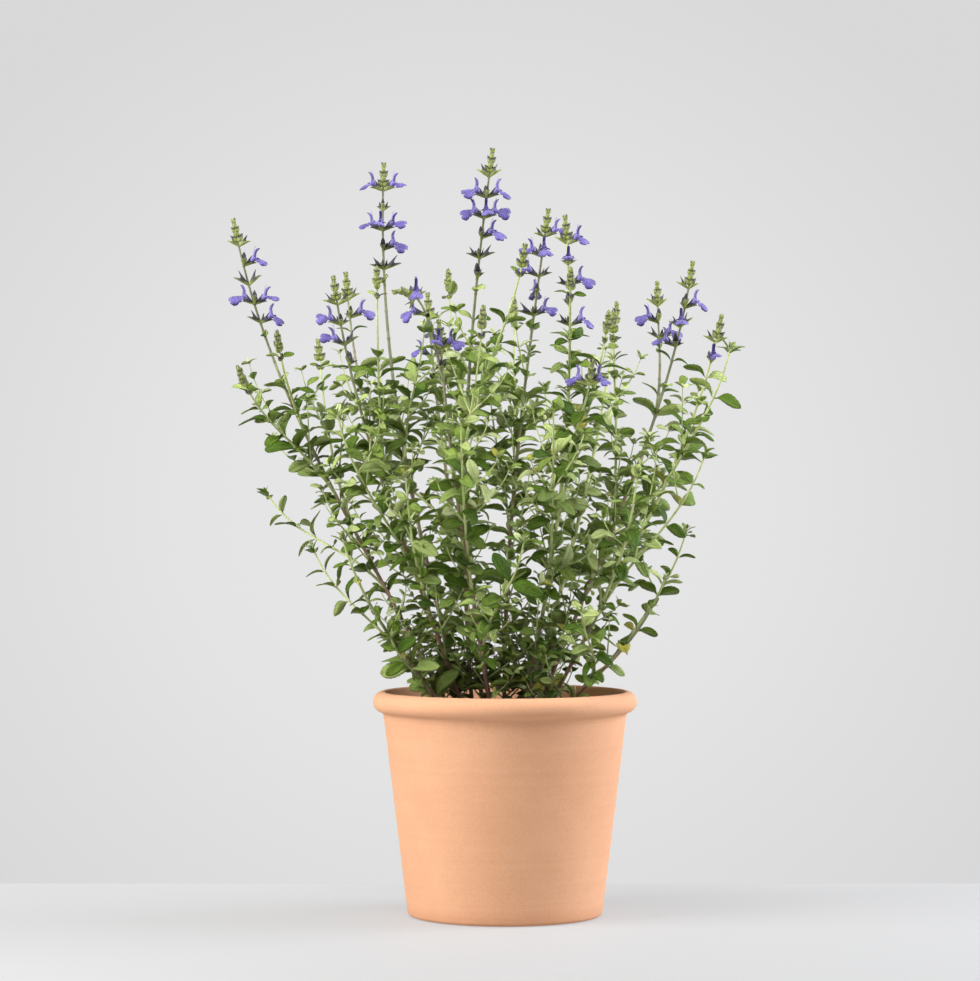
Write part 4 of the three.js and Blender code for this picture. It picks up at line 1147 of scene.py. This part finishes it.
def add_whorl(limbs, shoot, number, distance, blooms):
    """A whorl of calyces. Gives (node, place, direction) for each flower that is open on it."""
    place = shoot.frame(distance)[0]
    age = min(1, TOP_WHORL_AGE + OLDER_BY * number)
    swing = Quaternion(UP, WHORL_SWING * (chance(shoot.number, number, 90) - 0.5))
    open_flowers = []
    for side, letter in enumerate("LFRB"):
        tone = chance(shoot.number, number, side + 71)
        level = shoot.outward(distance, side, math.pi / 2) if shoot.nods else OUTWARDS[letter]
        outwards = swing @ level
        middle = place + (outwards + UP * BLOOM_RISE).normalized() * BLOOM_REACH
        near = [name for name, centre in blooms.items() if (centre - middle).length < SAME_BLOOM]
        is_open = letter in shoot.spike[number]
        if is_open and near:
            opened = outwards + UP * OPEN_RISE
            limbs.append((place, opened, UP, CALYX_LENGTH, OPEN, tone, age))
            open_flowers.append((near[0], place, opened))
        elif side % 2 == number % 2:
            rise = 0 if shoot.nods else mix(*CALYX_RISES, tone)
            size = CALYX_LENGTH + LOWER_IS_LONGER * number
            size *= mix(*CALYX_SIZES, chance(shoot.number, number, side + 75))
            limbs.append((place, outwards + UP * rise, UP, size, CLOSED, tone, age))
        if number and not is_open and not shoot.nods and tone < EXTRA_CALYX_CHANCE:
            turn = 0.5 + 0.6 * chance(shoot.number, number, side + 81)
            beside = Quaternion(UP, turn) @ outwards + UP * mix(*EXTRA_RISES, chance(number, side, 82))
            limbs.append((place, beside, UP, CALYX_LENGTH * mix(*EXTRA_SIZES, tone), CLOSED, tone, age))
    return open_flowers


for plant in plants:
    limbs = []
    plant["open_flowers"] = []
    stem_of = f"bloom_{plant['name']}_"
    blooms = {name: sum(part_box(name), Vector()) / 2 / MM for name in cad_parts
              if name.startswith(stem_of) and name[len(stem_of):].isdigit()}
    for shoot in plant["shoots"]:
        if shoot.head != "leaves":
            add_head(limbs, shoot)
        for number, distance in enumerate(shoot.whorls):
            plant["open_flowers"] += add_whorl(limbs, shoot, number, distance, blooms)
    if limbs:
        plant["parts"].append(grow_limbs("calyces", limbs, calyx_kinds, husk_finish))
for kind in calyx_kinds:
    bpy.data.objects.remove(kind)


def joined(parts):
    """Joins the parts as one piece, which is the first of them."""
    with bpy.context.temp_override(active_object=parts[0], selected_editable_objects=parts):
        bpy.ops.object.join()
    return parts[0]


# A main stem with its shoots, leaves, buds and calyces grew as one piece, so it is joined as one.
for plant in plants:
    grown = joined(plant["parts"])
    grown.name = grown.data.name = f"sage_{plant['name']}"
    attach(grown, "root")
    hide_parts(f"leafy_stem_{plant['name']}")

# ---- The flowers ----
# Each flower is one thin, downy violet-blue corolla that stands in the mouth of its calyx: a
# swollen tube, a narrow hood that stands up behind its mouth, and a broad, notched lower lip
# that spreads out in front with its sides turned down.
LIP = [(10.8, -0.8, 1.8, 0.8, 0), (11.8, -0.8, 1.5, 0.3, 0), (12.5, -0.9, 1.8, -0.3, 0.2),
       (13.1, -1.0, 3.5, -1.1, 0.4), (13.9, -1.2, 4.2, -1.5, 0.6), (14.8, -1.5, 3.9, -1.3, 0.7),
       (15.8, -2.0, 5.3, -2.3, 0.9), (17.2, -2.9, 5.6, -2.5, 0.9), (18.4, -3.9, 4.9, -2.1, 0.8),
       (19.3, -5.0, 3.5, -1.5, 0.5), (19.7, -6.0, 1.9, -0.8, 0.1)]
HOOD = [(0, 0, 1.8, -2.3, -0.3), (1.6, 0.3, 1.55, -2.3, -0.3), (3.2, 0.5, 1.3, -2.2, -0.3),
        (4.8, 0.5, 1.2, -2.1, -0.3), (6.4, 0.0, 1.25, -2.1, -0.3), (7.7, -1.0, 1.2, -1.8, -0.3),
        (8.5, -2.2, 0.95, -1.2, -0.2), (8.8, -3.2, 0.4, -0.5, 0.0)]
HOOD_FOOT = (10.2, 0, 1.8)
HOOD_STANCE = 0.9
WING = [(0, 0, 0.8, 0, 0), (0.9, -0.1, 1.3, -0.1, 0.1), (2.2, -0.5, 1.7, -0.2, 0.15),
        (3.4, -1.2, 1.4, -0.2, 0.1), (4.1, -1.9, 0.5, -0.1, 0)]
TUBE = [(5.4, 0.3, 0), (6.6, 0.9, 0), (7.8, 1.6, 0.1), (9.2, 2.3, 0.3), (10.8, 2.6, 0.6),
        (12.2, 2.3, 0.8), (12.3, 2.0, 0.8), (10.8, 1.0, 0.6)]
STYLE = [(11.2, 2.0), (13.4, 5.2), (15.4, 7.6), (17.2, 8.0)]
STYLE_RADIUS = 0.17
PETAL_THICKNESS = 0.28
NOTCH = (1.2, 1.0)
NOTCH_FROM = 18.8
RIPPLE = 0.35
WING_FOOT = (10.6, 1.2, 0.6)
DROOPS = (0.1, 0.7)
ROLLS = (0.0, 0.95)
TURNS_ASIDE = (-0.1, 0.5)
SMALLER_UNDER = (420, 470)
LIP_SIZES = (0.8, 1.05)
LIP_VARIES = (0.9, 1.1)
HOOD_VARIES = 0.5


def round_tube(name, rings, sides):
    """A closed tube along x through rings of (x, radius, height)."""
    points, marks = [], []
    start = rings[0][0]
    reach = max(x for x, _, _ in rings) - start
    for x, radius, z in rings:
        for k in range(sides):
            turn = 2 * math.pi * k / sides
            points.append((x, radius * math.sin(turn), z + radius * math.cos(turn)))
            marks.append(((x - start) / reach * 0.3, 0.5))
    return ringed_mesh(name, points, marks, sides)


def corolla_parts(number, hand, size):
    """The petals of one flower. Its lip is turned to the hand given, each a little differently."""
    droop = mix(*DROOPS, chance(number, 1, 92))
    roll = -hand * mix(*ROLLS, chance(number, 5, 92))
    turn_aside = hand * mix(*TURNS_ASIDE, chance(number, 2, 92))
    size *= mix(*LIP_VARIES, chance(number, 3, 92))
    lip = blade_mesh("lip", LIP, 6, PETAL_THICKNESS)
    for vertex in lip.vertices:
        if vertex.co.x > NOTCH_FROM and abs(vertex.co.y) < 0.4:
            vertex.co.x -= NOTCH[0]
            vertex.co.z += NOTCH[1]
        ripple = RIPPLE * math.sin(1.3 * vertex.co.x + number)
        vertex.co.z += ripple * math.sin(1.1 * vertex.co.y + 2 * number)
    claw = Matrix.Translation((LIP[0][0], 0, LIP[0][1]))
    lip.transform(claw @ Matrix.Rotation(turn_aside, 4, "Z") @ Matrix.Rotation(droop, 4, "Y")
                  @ Matrix.Rotation(roll, 4, "X") @ Matrix.Scale(size, 4) @ claw.inverted())
    hood = blade_mesh("hood", HOOD, 4, PETAL_THICKNESS)
    stance = HOOD_STANCE + HOOD_VARIES * (chance(number, 4, 92) - 0.5)
    hood.transform(Matrix.Translation(HOOD_FOOT) @ Matrix.Rotation(0.4 * turn_aside, 4, "Z")
                   @ Matrix.Rotation(-stance, 4, "Y"))
    wings = []
    for turn in (-1, 1):
        wing = blade_mesh("wing", WING, 4, PETAL_THICKNESS)
        wing_foot = Vector(WING_FOOT) * Vector((1, turn, 1))
        wing.transform(Matrix.Translation(wing_foot) @ Matrix.Rotation(turn, 4, "Z"))
        wings.append(wing)
    style = round_tube("style", [(x, STYLE_RADIUS, z) for x, z in STYLE], 5)
    return [round_tube("tube", TUBE, 10), lip, hood, *wings, style]


petal = Finish("violet petal")
along, from_rib, under = petal.add("ShaderNodeGroup", {0: petal.mapped()}, node_tree=blade_group).outputs
fine = petal.noise(900.0, 2.0)
violet = petal.ramp(petal.noise(110.0, 2.0), (0.32, (0.060, 0.038, 0.205)), (0.5, (0.105, 0.076, 0.325)),
                    (0.68, (0.19, 0.15, 0.48)))
lilac = petal.blend(petal.spread(along, 0.0, 0.45, 0.75, 0.0), violet, (0.32, 0.28, 0.60))
both_sides = petal.blend(under, lilac, petal.blend(0.4, lilac, (0.26, 0.23, 0.54)))
veins = petal.spread(petal.math("SINE", petal.math("MULTIPLY", from_rib, 45.0)), 0.5, 1.0, 0.0, 0.16)
colour = petal.blend(veins, both_sides, (0.08, 0.055, 0.36))
petal_finish = petal.finish(colour, petal.spread(fine, 0, 1, 0.5, 0.7), fine, 0.15, 0.0001, Sheen_Weight=0.25)

for plant in plants:
    for number, (node, place, direction) in enumerate(plant["open_flowers"]):
        along = direction.normalized()
        across = UP.cross(along).normalized()
        spread = mix(0.94, 1.06, chance(number, len(node), 91))
        stance = Matrix((along, across * spread, along.cross(across))).transposed().to_4x4()
        stance = Matrix.Translation(place * MM) @ stance @ Matrix.Scale(MM, 4)
        hand = -math.copysign(min(1, abs(2 * across.y)), across.y)
        petals = corolla_parts(7 * len(node) + 13 * number + round(place.z), hand,
                               np.interp(place.z, SMALLER_UNDER, LIP_SIZES))
        for mesh in petals:
            mesh.transform(stance)
        flower = joined([new_object("petal", mesh) for mesh in petals])
        flower.name = flower.data.name = node.replace("bloom", "corolla")
        flower.data.materials.append(petal_finish)
        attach(flower, "root")
        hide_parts(node)

# ---- The studio ----
# A pale floor that glows, with painted light and shade in its glow, a glowing backdrop with painted light,
# and soft light: a large soft window from the upper left front, and a paler one from the right that lifts the
# shaded edge.
FLOOR_REACH = 9000
FLOOR_DROP = 0.4
WALL_AT = 203
WALL_REACH = 4000
CAMERA_REACH = 2.6
CAMERA_HEIGHT = 0.337
CAMERA_SIDE = -0.0119
PHOTO_WIDTH_AT_POT = 0.7804
SENSOR_WIDTH = 36


def grey(value):
    return (value, value, value)


corners = [(-1, -1), (1, -1), (1, 1), (-1, 1)]
floor = new_object("floor", plain_mesh(
    "floor", [(x * FLOOR_REACH, y * FLOOR_REACH, -FLOOR_DROP) for x, y in corners], [(0, 1, 2, 3)]))
wall = new_object("backdrop", plain_mesh(
    "backdrop", [(x * WALL_REACH, WALL_AT, max(0, z) * WALL_REACH) for x, z in corners], [(0, 1, 2, 3)]))

# Only the camera sees the backdrop, and only from its front, so it neither lights nor hides the plant. It
# glows with painted light, brightest behind the plant's middle and painted darker towards its edges.
bright = Finish("lit backdrop")
centred = bright.add("ShaderNodeMapping", {"Vector": bright.here, "Location": (0.03, 0, -0.36),
                                           "Scale": (1.0, 1.0, 1.1)})
flat = bright.add("ShaderNodeVectorMath", {0: centred.outputs[0], 1: (1, 0, 1)}, operation="MULTIPLY")
away = bright.add("ShaderNodeVectorMath", {0: flat.outputs[0]}, operation="LENGTH").outputs["Value"]
# Painted light: the glow's brightness falls off with distance from a spot behind the plant's middle.
painted_falloff = bright.ramp(away, (0.0, grey(0.80)), (0.25, grey(0.775)), (0.4, grey(0.73)), (0.55, grey(0.69)))
glow = bright.add("ShaderNodeEmission", {"Color": painted_falloff})
clear = bright.add("ShaderNodeBsdfTransparent")
unseen = bright.math("SUBTRACT", 1.0, bright.add("ShaderNodeLightPath").outputs["Is Camera Ray"])
hidden = bright.math("MAXIMUM", bright.add("ShaderNodeNewGeometry").outputs["Backfacing"], unseen)
seen = bright.add("ShaderNodeMixShader", {0: hidden, 1: glow.outputs[0], 2: clear.outputs[0]})
fill(bright.tree.nodes["Material Output"], {"Surface": seen.outputs[0]})
bright.tree.nodes.remove(bright.tree.nodes["Principled BSDF"])
wall.data.materials.append(bright.material)

# The floor glows with painted light, which softens the shadows on it. Its glow is painted darker towards the
# front as shade, and painted lighter towards the front left.
paper = Finish("pale floor")
spot = paper.axes(paper.here)
nearer = paper.spread(spot["Y"], 0.2, -0.35)
leftwards = paper.spread(spot["X"], -0.05, -0.35)
glow = paper.ramp(nearer, (0.0, grey(0.42)), (1.0, grey(0.365)))
painted_light_left = paper.ramp(leftwards, (0.0, grey(0)), (1.0, grey(0.07)))
fill(paper.tree.nodes["Principled BSDF"], {
    "Base Color": grey(0.19), "Roughness": 0.7, "Emission Strength": 1,
    "Emission Color": paper.blend(nearer, glow, painted_light_left, "ADD")})
floor.data.materials.append(paper.material)


def soft_light(name, place, aim, size, power, colour=(1, 1, 1)):
    lamp = bpy.data.lights.new(name, "AREA")
    lamp.color = colour
    lamp.shape = "SQUARE"
    lamp.size = size
    lamp.energy = power
    stand = new_object(name, lamp)
    stand.location = place
    stand.rotation_euler = (Vector(aim) - Vector(place)).to_track_quat("-Z", "Y").to_euler()


soft_light("left window", (-1.75, -0.75, 1.25), (0, 0, 0.25), 1.3, 56)
soft_light("right window", (1.8, 0.2, 1.1), (0, 0, 0.25), 1.3, 54, (0.98, 1.01, 1.09))
soft_light("overhead", (-0.2, -0.9, 2.2), (0, 0, 0.35), 1.2, 26)

world = bpy.data.worlds.new("studio")
bpy.context.scene.world = world
world.use_nodes = True
fill(world.node_tree.nodes["Background"], {"Color": grey(0.78), "Strength": 0.42})

lens = bpy.data.cameras.new("camera")
lens.sensor_width = SENSOR_WIDTH
lens.lens = SENSOR_WIDTH * CAMERA_REACH / PHOTO_WIDTH_AT_POT
camera = new_object("camera", lens)
camera.location = (CAMERA_SIDE, -CAMERA_REACH, CAMERA_HEIGHT)
camera.rotation_euler = (math.pi / 2, 0, 0)
bpy.context.scene.camera = camera
bpy.context.scene.view_settings.view_transform = "Standard"
